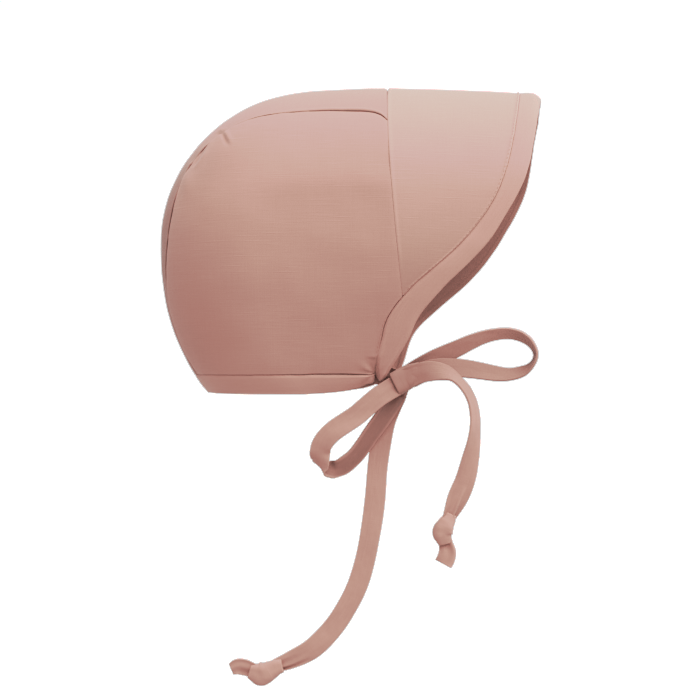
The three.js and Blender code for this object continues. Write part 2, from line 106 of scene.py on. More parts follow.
# %% Routes of the ties
ribbon_width = 0.0108
ribbon_thickness = 0.0013

# x, y, z of the middle in mm, then the direction across the strip, then the share of its width left
routes = {}
routes["tie_right"] = [
    (51, -41.3, -149.3, 0, 0, 1, 1),
    (57, -41.2, -149.9, 0.1, 0, 1, 1),
    (63, -41.6, -150.9, 0.2, 0, 1, 1),
    (70, -43, -152.5, 0.2, 0, 1, 0.8),
]
routes["tie_left"] = [
    (51, 41.3, -149.3, 0, 0, 1, 1),
    (56, 40.6, -150.8, 0.2, -0.1, 1, 1),
    (60.5, 36.5, -153.4, 0.6, 0.2, 0.8, 1),
    (64, 27, -156.2, 0.9, 0.25, 0.35, 1),
    (66.5, 13, -158, 1, 0.15, 0, 1),
    (68.5, -3, -158.4, 1, 0.1, 0, 1),
    (70.3, -19, -156.9, 1, 0.1, 0.1, 1),
    (71.8, -31, -153.9, 1, 0.1, 0.2, 0.8),
    (73.5, -43, -150.6, 1, 0, 0.3, 0.5),
]
routes["bow_loop_back"] = [
    (71, -46.5, -155.5, -0.45, 0, 0.9, 1),
    (66.2, -49.2, -158.4, -0.5, 0.05, 0.85, 1),
    (60.5, -52, -162.1, -0.55, 0.05, 0.83, 1),
    (54.4, -53.5, -167.3, -0.58, 0, 0.81, 1),
    (49.2, -54, -171.8, -0.58, 0, 0.81, 1),
    (43.5, -54.2, -175.6, -0.58, 0, 0.81, 1),
    (38.2, -54.2, -179.2, -0.62, 0, 0.78, 1),
    (34, -53.8, -183, -0.72, 0, 0.69, 1),
    (31.1, -53, -187.2, -0.85, 0, 0.5, 1),
    (30, -51.8, -191.5, -0.98, 0.05, 0.15, 1),
    (30.1, -50.5, -195.7, -0.84, 0.4, 0.36, 1),
    (30.2, -48.1, -199.1, -0.62, 0.45, 0.64, 1),
    (34.5, -45.6, -200.3, -0.25, 0.4, 0.8, 0.9),
    (38.2, -44.6, -200, -0.2, -0.25, 0.85, 0.86),
    (42.2, -43.7, -198.1, -0.34, -0.5, 0.76, 1),
    (47.5, -43.1, -193.6, -0.48, -0.62, 0.62, 1),
    (51.6, -43.3, -188.4, -0.48, -0.64, 0.58, 1),
    (56, -43.6, -182, -0.48, -0.62, 0.6, 1),
    (60.6, -44, -175.6, -0.5, -0.58, 0.62, 1),
    (65.5, -44.2, -168.6, -0.5, -0.5, 0.62, 1),
    (70.5, -44.4, -161, -0.5, -0.4, 0.62, 1),
]
routes["bow_loop_front"] = [
    (75, -41, -151.2, 0.4, 0, -0.9, 1),
    (82, -40.6, -146.6, 0.35, 0.15, -0.92, 0.98),
    (88.5, -40.8, -142.9, 0.32, 0.2, -0.92, 0.95),
    (95, -41.2, -139.8, 0.3, 0.25, -0.92, 0.9),
    (101.5, -41.7, -136.8, 0.28, 0.3, -0.9, 0.84),
    (108, -42.2, -133.7, 0.22, 0.35, -0.9, 0.78),
    (115, -42.5, -131, 0.15, 0.42, -0.88, 0.69),
    (122, -42.8, -129.4, 0.05, 0.5, -0.86, 0.64),
    (129, -43, -129, -0.05, 0.62, -0.75, 0.64),
    (135, -43.1, -130.6, -0.15, 0.8, -0.5, 0.74),
    (140, -43.2, -134.6, -0.18, 0.93, -0.2, 0.86),
    (142.3, -43.4, -140, -0.18, 0.98, 0.02, 0.9),
    (140.2, -43.7, -145, -0.14, 0.93, 0.25, 0.86),
    (135.3, -44, -148.6, -0.08, 0.78, 0.6, 0.8),
    (128.5, -44.3, -150.4, 0, 0.65, 0.75, 0.76),
    (121, -44.6, -149.9, 0.05, 0.55, 0.83, 0.84),
    (113.5, -44.9, -148.6, 0.05, 0.45, 0.88, 0.9),
    (106, -45.2, -147.4, 0, 0.38, 0.92, 0.95),
    (98.5, -45.6, -146.9, 0, 0.4, 0.92, 1),
    (90.5, -46, -147.4, 0.1, 0.25, 0.96, 1),
    (83, -46.2, -149.5, 0.3, 0.1, 0.95, 1),
    (77, -46, -152.3, 0.35, 0, 0.93, 1),
]
routes["tail_back"] = [
    (72.5, -42.4, -156.6, 0.9, 0, 0.4, 0.8),
    (69.2, -39.4, -162.4, 0.92, 0.05, 0.4, 1),
    (66, -37.6, -168.4, 0.94, 0.1, 0.36, 1),
    (63.2, -37.4, -175.5, 0.96, 0.12, 0.28, 1),
    (60.9, -37.2, -186.5, 0.98, 0.1, 0.15, 1),
    (59.2, -39.2, -200, 1, 0.05, 0.08, 1),
    (58.2, -41.6, -215, 1, 0, 0.08, 1),
    (56.4, -43.8, -230, 1, -0.05, 0.12, 1),
    (53.5, -44.8, -246, 0.98, -0.1, -0.22, 1),
    (49.5, -45.3, -260, 0.93, -0.1, -0.35, 1),
    (44, -45.6, -271.5, 0.86, -0.05, -0.5, 1),
    (36.5, -45.8, -283, 0.76, 0, -0.65, 1),
    (26, -46.1, -293.8, 0.55, 0.1, -0.83, 1),
    (15, -46.5, -300, 0.3, 0.15, -0.94, 0.9),
    (4, -47, -304.4, 0.3, 0.1, -0.95, 0.6),
]
routes["tail_front"] = [
    (73.5, -48.2, -153.4, 0.42, 0, -0.9, 1),
    (77.6, -50, -151.3, 0.4, 0, -0.9, 1),
    (81.8, -51.2, -149.8, 0.35, -0.05, -0.93, 1),
    (87.8, -52.8, -148.7, 0.1, -0.3, -0.94, 1),
    (94.8, -54.2, -149.4, -0.13, -0.68, -0.72, 1),
    (101, -55.5, -152.2, -0.2, -0.92, -0.32, 1),
    (106.3, -56.5, -157.8, -0.27, -0.94, -0.17, 1),
    (109.8, -57, -165.2, -0.33, -0.93, -0.06, 1),
    (111, -56.8, -174, -0.42, -0.9, 0, 1),
    (110.2, -56, -184.3, -0.6, -0.8, 0.03, 1),
    (108.4, -55, -194.6, -0.8, -0.58, 0.12, 1),
    (105.7, -54, -205, -0.93, -0.28, 0.22, 1),
    (101.4, -53.4, -215.2, -0.9, -0.3, 0.3, 1),
    (96, -53, -227, -0.8, -0.55, 0.3, 0.6),
]
routes["flap_back"] = [
    (2, -47, -306.6, 0.1, 0, -1, 0.6),
    (-5, -47.4, -306, 0, 0.1, -1, 0.72),
    (-10, -48, -304.4, -0.2, 0.2, -1, 0.86),
    (-13.8, -48.4, -304, -0.1, 0.15, -1, 0.82),
    (-17.2, -48.2, -305.3, 0.3, 0.1, -0.9, 0.6),
]
routes["flap_front"] = [
    (94.8, -53, -232, -1, 0, 0, 0.6),
    (95.7, -53.2, -237.5, -1, -0.1, 0, 0.72),
    (96.5, -53.5, -242.2, -1, -0.15, -0.1, 0.9),
    (95.8, -53.7, -245.6, -0.97, -0.1, -0.25, 0.94),
    (94.4, -53.8, -248.4, -0.92, 0, -0.38, 0.94),
]
print("routes of", len(routes), "strips")

# %% [markdown]
# A strip needs its route as one smooth line with even steps, so that its weave isn't stretched. The
# curve passes through every row, and all its columns are smoothed together.

# %% Smooth, even steps along a route
fine_steps = 40                 # points of the smooth line for each row


def distance_along(points):
    """How far each point of a line is from its start."""
    return np.concatenate([[0], np.cumsum(np.linalg.norm(np.diff(points, axis=0), axis=1))])


def even_route(route, steps):
    """The route's columns at steps + 1 places, evenly spaced along its length, and that length."""
    rows = np.array(route, float)
    rows[:, :3] /= 1000
    padded = np.vstack([2 * rows[0] - rows[1], rows, 2 * rows[-1] - rows[-2]])
    at = np.linspace(0, len(rows) - 1, fine_steps * len(rows))
    first = np.minimum(at.astype(int), len(rows) - 2)
    s = (at - first)[:, None]
    a, b, c, d = (padded[first + k] for k in range(4))
    fine = 0.5 * (2 * b + (c - a) * s + (2 * a - 5 * b + 4 * c - d) * s**2 + (3 * b - a - 3 * c + d) * s**3)
    travelled = distance_along(fine[:, :3])
    wanted = np.linspace(0, travelled[-1], steps + 1)
    return np.stack([np.interp(wanted, travelled, column) for column in fine.T], 1), travelled[-1]


def unit(vectors):
    """The same directions with length one."""
    return vectors / np.linalg.norm(vectors, axis=-1, keepdims=True)


def carried(route, steps):
    """A route's even rows and length, with the directions along it, across it and out of its face."""
    rows, length = even_route(route, steps)
    run = unit(np.gradient(rows[:, :3], axis=0))
    across = unit(rows[:, 3:6] - (rows[:, 3:6] * run).sum(1, keepdims=True) * run)
    return rows, length, run, across, np.cross(run, across)


print("left loop's strip is", round(even_route(routes["bow_loop_back"], 60)[1] * 1000), "mm long")

# %% [markdown]
# Every cloth piece starts from one flat grid, because woven cloth is a grid of warp and weft. A place
# function then lays each vertex where it belongs, as a maker lays cloth on a hat block. The grid also
# gives the piece its weave map, a UV map in metres, so the threads have one size everywhere. A
# strip's grid is rolled round and sewn shut.

# %% Laying a grid of cloth
def hump(at, middle, reach):
    """1 at the middle, falling off to nothing on both sides over about that reach."""
    return np.exp(-(((at - middle) / reach) ** 2))


def from_to(at, start, end):
    """0 up to the start, 1 from the end on, and evenly rising between them."""
    return np.clip((at - start) / (end - start), 0, 1)


def wobble(points, size, seed):
    """Smooth noise from -1 to 1 at each point, with bumps of about that size."""
    shift = Vector((seed * 7.3, seed * 3.1, seed * 5.7))
    values = [noise.noise(Vector(p) / size + shift) for p in points.reshape(-1, 3)]
    return np.array(values).reshape(points.shape[:-1])


def wobble_at(a, b, c, seed):
    """The same noise for places told by three numbers, in which one bump is about 1 across."""
    return wobble(np.stack(np.broadcast_arrays(a, b, c), -1), 1.0, seed)


def numbers_of(items, key, size, kind=float):
    """One number or one row of numbers for each item of a mesh."""
    numbers = np.empty(len(items) * size, kind)
    items.foreach_get(key, numbers)
    return numbers.reshape(-1, size)


def lay_grid(name, steps_u, steps_v, place, closed=False):
    """A new mesh object. place(u, v) gives the points, the weave map in metres, and their wear and painted
    light: above 0 rubbed paler, partly a painted highlight, below 0 painted shade.
    """
    bm = bmesh.new()
    bmesh.ops.create_grid(bm, x_segments=steps_u, y_segments=steps_v, size=0.5)
    mesh = bpy.data.meshes.new(name)
    bm.to_mesh(mesh)
    flat = numbers_of(mesh.vertices, "co", 3) + 0.5
    points, weave, wear_and_painted_light = place(flat[:, 0], flat[:, 1])
    mesh.vertices.foreach_set("co", points.ravel())
    corner = numbers_of(mesh.loops, "vertex_index", 1, int)
    mesh.uv_layers.new(name="weave").data.foreach_set("uv", weave[corner].ravel())
    mesh.attributes.new("wear_and_painted_light", "FLOAT", "POINT").data.foreach_set("value", wear_and_painted_light)
    if closed:
        bm.clear()
        bm.from_mesh(mesh)
        bmesh.ops.remove_doubles(bm, verts=bm.verts, dist=1e-6)
        bmesh.ops.holes_fill(bm, edges=[edge for edge in bm.edges if edge.is_boundary])
        bmesh.ops.recalc_face_normals(bm, faces=bm.faces)
        bm.to_mesh(mesh)
    bm.free()
    mesh.shade_smooth()
    return add_object(name, mesh)


# %% [markdown]
# The strip's section is flat with round edges, where the cloth is folded. Where the strip goes into
# a knot it is squeezed narrower, and the spare width stands up in folds along it.

# %% Making a strip
flat_share = 0.94               # of the half width, before the round edge starts
flat_count = 23
gather_reach = 0.012
fold_reach = 0.021
shaded_tone = -0.56
flat_stations = np.linspace(-flat_share, flat_share, flat_count)
round_angles = np.radians([60, 20, -20, -60])
round_edge = flat_share + (1 - flat_share) * np.cos(round_angles)
flat_height, round_height = np.ones(flat_count), np.sin(round_angles)
# once round the section, back to where it starts: places across it, and heights
section_across = np.concatenate([flat_stations, round_edge, -flat_stations, -round_edge, flat_stations[:1]])
section_height = np.concatenate([flat_height, round_height, -flat_height, -round_height, [1]])


def strip(name, route, steps, seed, width=ribbon_width, squeeze=(0.8, 0.8), end_fold=None, shaded_side=0):
    """A folded strip along a route. squeeze is how strongly it is folded up at its start and its end.
    end_fold is where across the strip, from -1 to 1, a deep fold runs into the knot at its end.
    shaded_side is the face, 1 or -1, that gets painted shade, as the inner face of a loop does where the
    light hardly reaches."""
    rows, length, _, across, face = carried(route, steps)
    middle, share = rows[:, :3], rows[:, 6]
    travelled = np.linspace(0, length, steps + 1)
    at_start, at_end = (hump(travelled, knot, gather_reach) for knot in (0, length))
    gathered = squeeze[0] * at_start + squeeze[1] * at_end

    def place(u, v):
        i = np.rint(u * steps).astype(int)
        j = np.rint(v * (len(section_across) - 1)).astype(int)
        w, h, at = section_across[j], section_height[j], travelled[i]
        lift = 0.0007 * gathered[i] * (np.cos(5.5 * w + 0.6 * seed) - 0.5)
        if end_fold is not None:
            lift -= 0.0028 * from_to(at, length - fold_reach, length) * hump(w, end_fold, 0.17)
        lift += 0.0005 * wobble_at(at / 0.016, 0.7 * w, seed, seed)
        lift += 0.00012 * wobble_at(at / 0.004, 2.5 * w, seed, seed + 1)
        wide = width / 2 * share[i] * (1 + 0.03 * wobble_at(at / 0.02, 0, seed, seed))
        points = middle[i] + across[i] * (w * wide)[:, None]
        points += face[i] * (lift + h * ribbon_thickness / 2)[:, None]
        wear_and_painted_light = from_to(np.abs(w), 0.86, 0.98)
        # The shaded side gets painted shade, darkest across the middle of the strip.
        if shaded_side:
            wear_and_painted_light = np.where(h * shaded_side > 0.9, shaded_tone * from_to(np.abs(w), 0.9, 0.7), wear_and_painted_light)
        return points, np.stack([at, j / (len(section_across) - 1) * 2 * width], 1), wear_and_painted_light

    piece = lay_grid(name, steps, len(section_across) - 1, place, closed=True)
    return piece, [tuple(p) for p in middle[:: max(1, steps // 36)]], length


# %% [markdown]
# The bow is tied in the right tie and the left one, which crosses under the chin. It shows as six
# lengths of strip: two to the knot, two loops that turn over, and two tails that end in their knots.

# %% The ties and the bow
ties = {}
for name, steps, squeeze, end_fold, shaded_side in [
    ("tie_right", 16, (0, 0.8), None, 0),
    ("tie_left", 80, (0.3, 0.8), None, 0),
    ("bow_loop_back", 160, (0.3, 1.0), None, 1),
    ("bow_loop_front", 140, (1.0, 0.5), None, 0),
    ("tail_back", 150, (0.8, 0.5), 0.72, 0),
    ("tail_front", 110, (0.3, 0.5), -0.2, 0),
]:
    ties[name] = piece, path, length = strip(
        name + "_strip", routes[name], steps, len(ties) + 1, ribbon_width, squeeze, end_fold, shaded_side
    )
    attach(piece, "root")
    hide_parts(name)
    print(name, "is", round(length * 1000), "mm long")

# %% [markdown]
# All the sewn cloth lies on one smooth form, the same that the CAD part is built on. A point's depth
# is how far it lies under the bonnet's middle outline, and the form's half width grows with the
# depth as a quarter of an ellipse does. The arch is the distance over the form from the middle.

# %% The form's sizes
head_half_width = 0.062
arch_depth = 0.060
crown_centre_x, crown_centre_z = 0.015, -0.077
crown_radius = 0.0772
crown_top_rise, crown_back_rise = 0.00363, 0.0009
back_starts = 0.9               # radians down from the top
top_x, top_z = 0.052, 0.00575
top_fall_back, top_fall_front = 1.4, 0.3
brim_slope = 0.018
lip_x, lip_bend = 0.1404, 100.0
neck_below = 0.083
neck_tuck, neck_tuck_power = 0.0255, 2.55
neck_narrow, corner_narrow = 0.24, 0.08
arch_radius = (head_half_width + arch_depth) / 2
quarter_turn = math.pi / 2
arch_quarter = arch_radius * quarter_turn
print("a quarter arch is", round(arch_quarter * 1000, 1), "mm")

# %% [markdown]
# From these sizes come the points on the form. A place on the top, the back or the nape is found
# along the outline, and a place on a side from where it lies in side view. The outward direction is
# the way in which the form's level rises fastest.

# %% Points on the form
def top_line(x):
    front = x - top_x
    along_brim = brim_slope * front + top_fall_front * front**2 + lip_bend * np.maximum(0, x - lip_x) ** 2
    return top_z - np.where(front < 0, top_fall_back * front**2, along_brim)


def below_centre(z):
    return from_to(z, crown_centre_z, crown_centre_z - neck_below)


def nape_line(z):
    return crown_centre_x - crown_radius - crown_back_rise + neck_tuck * below_centre(z) ** neck_tuck_power


def back_radius(turn):
    towards_back = from_to(turn, back_starts, quarter_turn)
    rise = crown_back_rise * towards_back**2 * (3 - 2 * towards_back)
    return crown_radius + rise + crown_top_rise * np.maximum(0, 1 - turn) ** 2


def depth_under(x, z):
    back, up = crown_centre_x - x, z - crown_centre_z
    behind = back_radius(np.arctan2(back, up)) - np.hypot(back, up)
    above = np.where(x >= crown_centre_x, top_line(x) - z, behind)
    return np.where(z < crown_centre_z, x - nape_line(z), above)


def width_at(x, z):
    low = below_centre(z) ** 2
    return head_half_width * (1 - neck_narrow * low - corner_narrow * low * from_to(x, 0.010, 0.060) ** 2)


def arch_drop(arch):
    over = np.abs(arch)
    on_round = arch_depth * (1 - np.cos(over / arch_radius))
    return np.where(over > arch_quarter, arch_depth + over - arch_quarter, on_round)


def form_point(x, z, arch):
    share = np.sign(arch) * np.sin(np.minimum(np.abs(arch) / arch_radius, quarter_turn))
    return np.stack([x, width_at(x, z) * share, z], -1)


def top_point(x, arch):
    return form_point(x, top_line(x) - arch_drop(arch), arch)


def nape_point(z, arch):
    return form_point(nape_line(z) + arch_drop(arch), z, arch)


def inner_share(x, z):
    return 1 - np.clip(depth_under(x, z) / arch_depth, 0, 1)


def side_point(x, z, side):
    return np.stack([x, side * width_at(x, z) * np.sqrt(1 - inner_share(x, z) ** 2), z], -1)


def outward(points):
    """The form's outward direction at points on it."""
    def level(p):
        x, y, z = p[..., 0], p[..., 1], p[..., 2]
        return inner_share(x, z) ** 2 + (y / width_at(x, z)) ** 2

    steps = 0.0005 * np.eye(3)
    return unit(np.stack([level(points + step) - level(points - step) for step in steps], -1))


def raised(points, height):
    """The points moved straight out from the form."""
    return points + outward(points) * height[:, None]


# %% [markdown]
# The seam lines follow the CAD part's, so that each piece fills the place of its own solid. Their
# tables are short, and a smooth curve is laid through the two longer ones.

# %% Seam lines
def columns(names, *rows):
    """A table's columns by their names, in metres, from rows in millimetres."""
    return dict(zip(names.split(), np.array(rows).T / 1000))


brim_seam_x, brim_seam_lean, brim_seam_reach = 0.0628, 0.0096, 0.140
brim_tip = 0.1506
band_end = 0.196
casing_z, hem_z = -0.1509, -0.161
left_brim_push = dict(line=(0.0017, 0.132, 0.014), edge=(0.0022, 0.139, 0.011))
left_cheek_pull = (0.005, 0.171, 0.012)

# the x of the binding's seam and of its folded edge, by the arch
edge_band = columns(
    "arch line edge",
    (0, 134.3, 146), (30, 133.9, 145.2), (60, 131.4, 142), (85, 126.5, 137.4),
    (105, 117.5, 128), (125, 101.7, 115), (145, 79.6, 95.6), (160, 67.1, 83),
    (175, 61.9, 75.3), (187, 59.2, 68.2), (196, 59.2, 62.4),
)
# the crown band's half width, by the distance back from the brim
crown_band_cut = columns(
    "along half",
    (0, 55.3), (1.5, 53.7), (3.5, 51.5), (8, 49.3), (25, 47.5), (55, 44), (85, 37),
    (115, 32.5), (138, 34.5), (155, 36), (172, 34.3), (192, 28), (215, 22), (245, 20),
)
# how far the hem rises towards the front corner
hem_rise = columns("x rise", (18, 0), (26, 0.4), (34, 0.8), (40, 1.3), (45, 2.0), (50, 3.4), (55, 5.5))


def read_table(table, key, column, at):
    """A column at some values of the key column, along a smooth curve through its rows."""
    keys, values = table[key], table[column]
    slopes = np.empty(len(keys))
    slopes[0], slopes[-1] = 0, (values[-1] - values[-2]) / (keys[-1] - keys[-2])
    slopes[1:-1] = (values[2:] - values[:-2]) / (keys[2:] - keys[:-2])
    i = np.clip(np.searchsorted(keys, at, side="left") - 1, 0, len(keys) - 2)
    span = keys[i + 1] - keys[i]
    s = (at - keys[i]) / span
    stay = 1 - s
    rise = (1 + 2 * s) * stay**2 * values[i] + s**2 * (3 - 2 * s) * values[i + 1]
    return rise + s * stay**2 * span * slopes[i] - s**2 * stay * span * slopes[i + 1]


def brim_seam(arch):
    return brim_seam_x + brim_seam_lean * (np.abs(arch) / brim_seam_reach) ** 1.5


def swell(shape, at):
    most, middle, reach = shape
    return most * hump(at, middle, reach)


def band_column(column, arch):
    left = swell(left_brim_push[column], arch) - swell(left_cheek_pull, arch)
    drawn_in = 0.0002 * wobble_at(arch / 0.005, 0, 0, 33) if column == "line" else 0
    return read_table(edge_band, "arch", column, np.abs(arch)) + np.where(arch > 0, left, 0) + drawn_in


def hem_line(x):
    return hem_z + 0.0004 * from_to(x, -0.022, -0.040) ** 2 + np.interp(x, hem_rise["x"], hem_rise["rise"])


top_run = brim_seam_x - crown_centre_x
back_run = (crown_radius + crown_top_rise / 3) * quarter_turn
nape_run = crown_centre_z - casing_z
outline_run = top_run + back_run + nape_run


def outline_point(along, arch):
    """A point by its distance back from the brim, over the top, down the back and along the nape."""
    lean = (brim_seam(arch) - brim_seam_x) * (1 - along / top_run)
    on_top = top_point(brim_seam_x - along + lean, arch)
    on_nape = nape_point(crown_centre_z - (along - top_run - back_run), arch)
    turn = (along - top_run) / back_run * quarter_turn
    radius = back_radius(turn) - arch_drop(arch)
    on_back = form_point(crown_centre_x - radius * np.sin(turn), crown_centre_z + radius * np.cos(turn), arch)
    along = along[..., None]
    return np.where(along < top_run, on_top, np.where(along > top_run + back_run, on_nape, on_back))


print("the crown band is cut", round(outline_run * 1000), "mm long")

# %% [markdown]
# A seam on the real bonnet is sewn inside out and turned. Each piece comes to the seam, rolls over a
# small radius and goes in, where its allowance lies behind. So each sheet is a little longer than its
# place. A tight roll leaves a line that hardly shows, and a wide one a dark groove. The steps of the
# grid are closer at the edges, where the roll is.

# %% Turning an edge under
allowance = 0.0017
sewn_gap = 0.00004
tight_roll = 0.00014


def closer_at_ends(share, pull=0.85):
    return share - pull * np.sin(2 * math.pi * share) / (2 * math.pi)


def turned_under(share, length, first, last):
    """Where a share of the cut lies along a piece, from 0 to 1, and how deep it has gone under.
    first and last are the radii that its two edges roll over."""
    first_spare, last_spare = (allowance + radius * (quarter_turn - 1) for radius in (first, last))
    cut = length + first_spare + last_spare
    walked = closer_at_ends(share) * cut
    near_first = walked < cut / 2
    radius = np.where(near_first, first, last)
    from_edge = np.where(near_first, walked, cut - walked)
    angle = np.clip((from_edge - allowance) / radius, 0, quarter_turn)
    inset = radius * (1 - np.cos(angle)) + np.maximum(0, from_edge - allowance - radius * quarter_turn)
    deep = radius * (1 - np.sin(angle)) + np.maximum(0, allowance - from_edge)
    return np.where(near_first, inset, length - inset) / length, deep


print("each cut edge gives about", round(allowance * 1000, 1), "mm to its seam")

# %% [markdown]
# The long seam between the crown band and the side panels isn't pulled evenly. Near the brim the
# band lies over it as a soft roll, on the round of the head it disappears and then puckers where the
# panel was eased in, and down the back it gapes a little before it closes to a fine line. A table of
# the roll's radius and of the gap, by the distance back from the brim, is read by both pieces.

# %% How the long seam is pulled
long_seam_pull = columns(
    "along roll gap",
    (0, 0.50, 0.50), (4, 0.80, 0.75), (12, 1.10, 0.85), (28, 1.10, 0.80), (42, 0.75, 0.55),
    (54, 0.35, 0.18), (68, 0.14, 0.00), (100, 0.12, 0.00), (108, 0.45, 0.22), (118, 0.42, 0.25),
    (124, 0.80, 0.66), (128, 0.20, 0.02), (136, 0.14, 0.00), (140, 0.30, 0.35), (147, 0.45, 0.75),
    (155, 0.50, 1.10), (167, 0.50, 1.10), (170, 0.40, 0.70), (174, 0.60, 1.30), (178, 0.60, 1.20),
    (187, 0.60, 0.80), (195, 0.30, 0.20), (245, 0.30, 0.10),
)
# puckers where the panel is eased in: start and end in side view, width, depth, and the ridge beside
puckers = [
    ((-0.0284, -0.0202), (-0.0240, -0.0214), 0.0008, 0.0009, 0.3),
    ((-0.0243, -0.0216), (-0.0196, -0.0287), 0.0009, 0.0008, 0.6),
    ((-0.0345, -0.0305), (-0.0395, -0.0385), 0.0011, 0.0006, 0.5),
]
tie_from, tie_full, tie_to = -0.1415, -0.1540, -0.1555     # the heights where a tie is sewn in
corner_x, corner_z = 0.0584, -0.1500


def long_seam(column, along):
    """The radius that the seam rolls over, or how far it gapes open."""
    return np.interp(along, long_seam_pull["along"], long_seam_pull[column])


def mm_at(at, table):
    """A length in metres from a table of places and lengths in millimetres."""
    return np.interp(at, *table) / 1000


def crease(points, start, end, wide, deep, ridge):
    """A short fold from start to end in side view, as (x, z): a valley with a ridge on its left."""
    start, end = np.array(start), np.array(end)
    reach = np.linalg.norm(end - start)
    offset = points[..., [0, 2]] - start
    run = offset @ (end - start) / reach**2
    beside = (offset[..., 0] * (end - start)[1] - offset[..., 1] * (end - start)[0]) / reach
    taper = np.exp(-np.abs((run - 0.5) / 0.55) ** 4)
    return -deep * taper * (hump(beside, 0, wide) - ridge * hump(beside, -2.1 * wide, 1.4 * wide))


def tie_hollow(points):
    """How far the sewn-in tie draws the cloth in at the two front corners."""
    x, z = points[..., 0], points[..., 2]
    low = from_to(z, tie_from, tie_full)
    past = np.maximum(0, np.maximum(z - tie_from, tie_to - z))
    beside = hump(x, 0.0580 + 0.0012 * low, 0.0027 - 0.0010 * low)
    hollow = 0.0031 * np.sqrt(low) * beside * hump(past, 0, 0.002)
    angle = np.arctan2(z - corner_z, corner_x - x)
    away = np.hypot(x - corner_x, z - corner_z)
    folds = 0.00032 * np.sin(7.0 * angle + 0.8) * hump(away, 0.0045, 0.0045)
    return hollow + np.where(x < 0.0598, folds, 0.4 * folds)


print("the long seam rolls over up to", round(1000 * max(long_seam_pull["roll"]), 1), "mm")

# %% [markdown]
# The side panels are the large plain faces of the bonnet. Each is a surface filled in from its four
# sides: the seam over the top, the same seam down the back, the neck, and the front. That keeps the
# threads level and upright, as the real cloth is cut. Long shallow undulations and small puckers at
# the seams keep it from looking moulded.

# %% Cloth sheets
cloth_thickness = 0.0011
panel_width, panel_height = 0.125, 0.135
# shares of the panel's width or height, and the roll or the gap there in mm
casing_roll = [0, 0.5, 0.62, 0.78, 0.92, 1], [0.16, 0.2, 0.45, 0.45, 0.3, 0.3]
casing_gap = [0, 0.15, 0.45, 0.62, 0.70, 0.87, 0.93, 1], [0.05, 0.25, 0.30, 0.35, 0.60, 0.70, 0.40, 0.10]
front_roll = [0, 0.16, 0.26, 0.34, 1], [0.25, 0.28, 0.14, 0.08, 0.10]
seam_shade = -1                  # the painted shade given to cloth that has gone under into a seam


def sheet_piece(name, steps_u, steps_v, place, thickness=cloth_thickness):
    piece = lay_grid(name, steps_u, steps_v, place)
    centre, facing = (numbers_of(piece.data.polygons, key, 3) for key in ("center", "normal"))
    if (outward(centre) * facing).sum() < 0:
        piece.data.flip_normals()
    wall = piece.modifiers.new("wall", "SOLIDIFY")
    wall.thickness = thickness
    wall.offset = -1
    wall.use_even_offset = False
    wall.material_offset = 1
    return piece


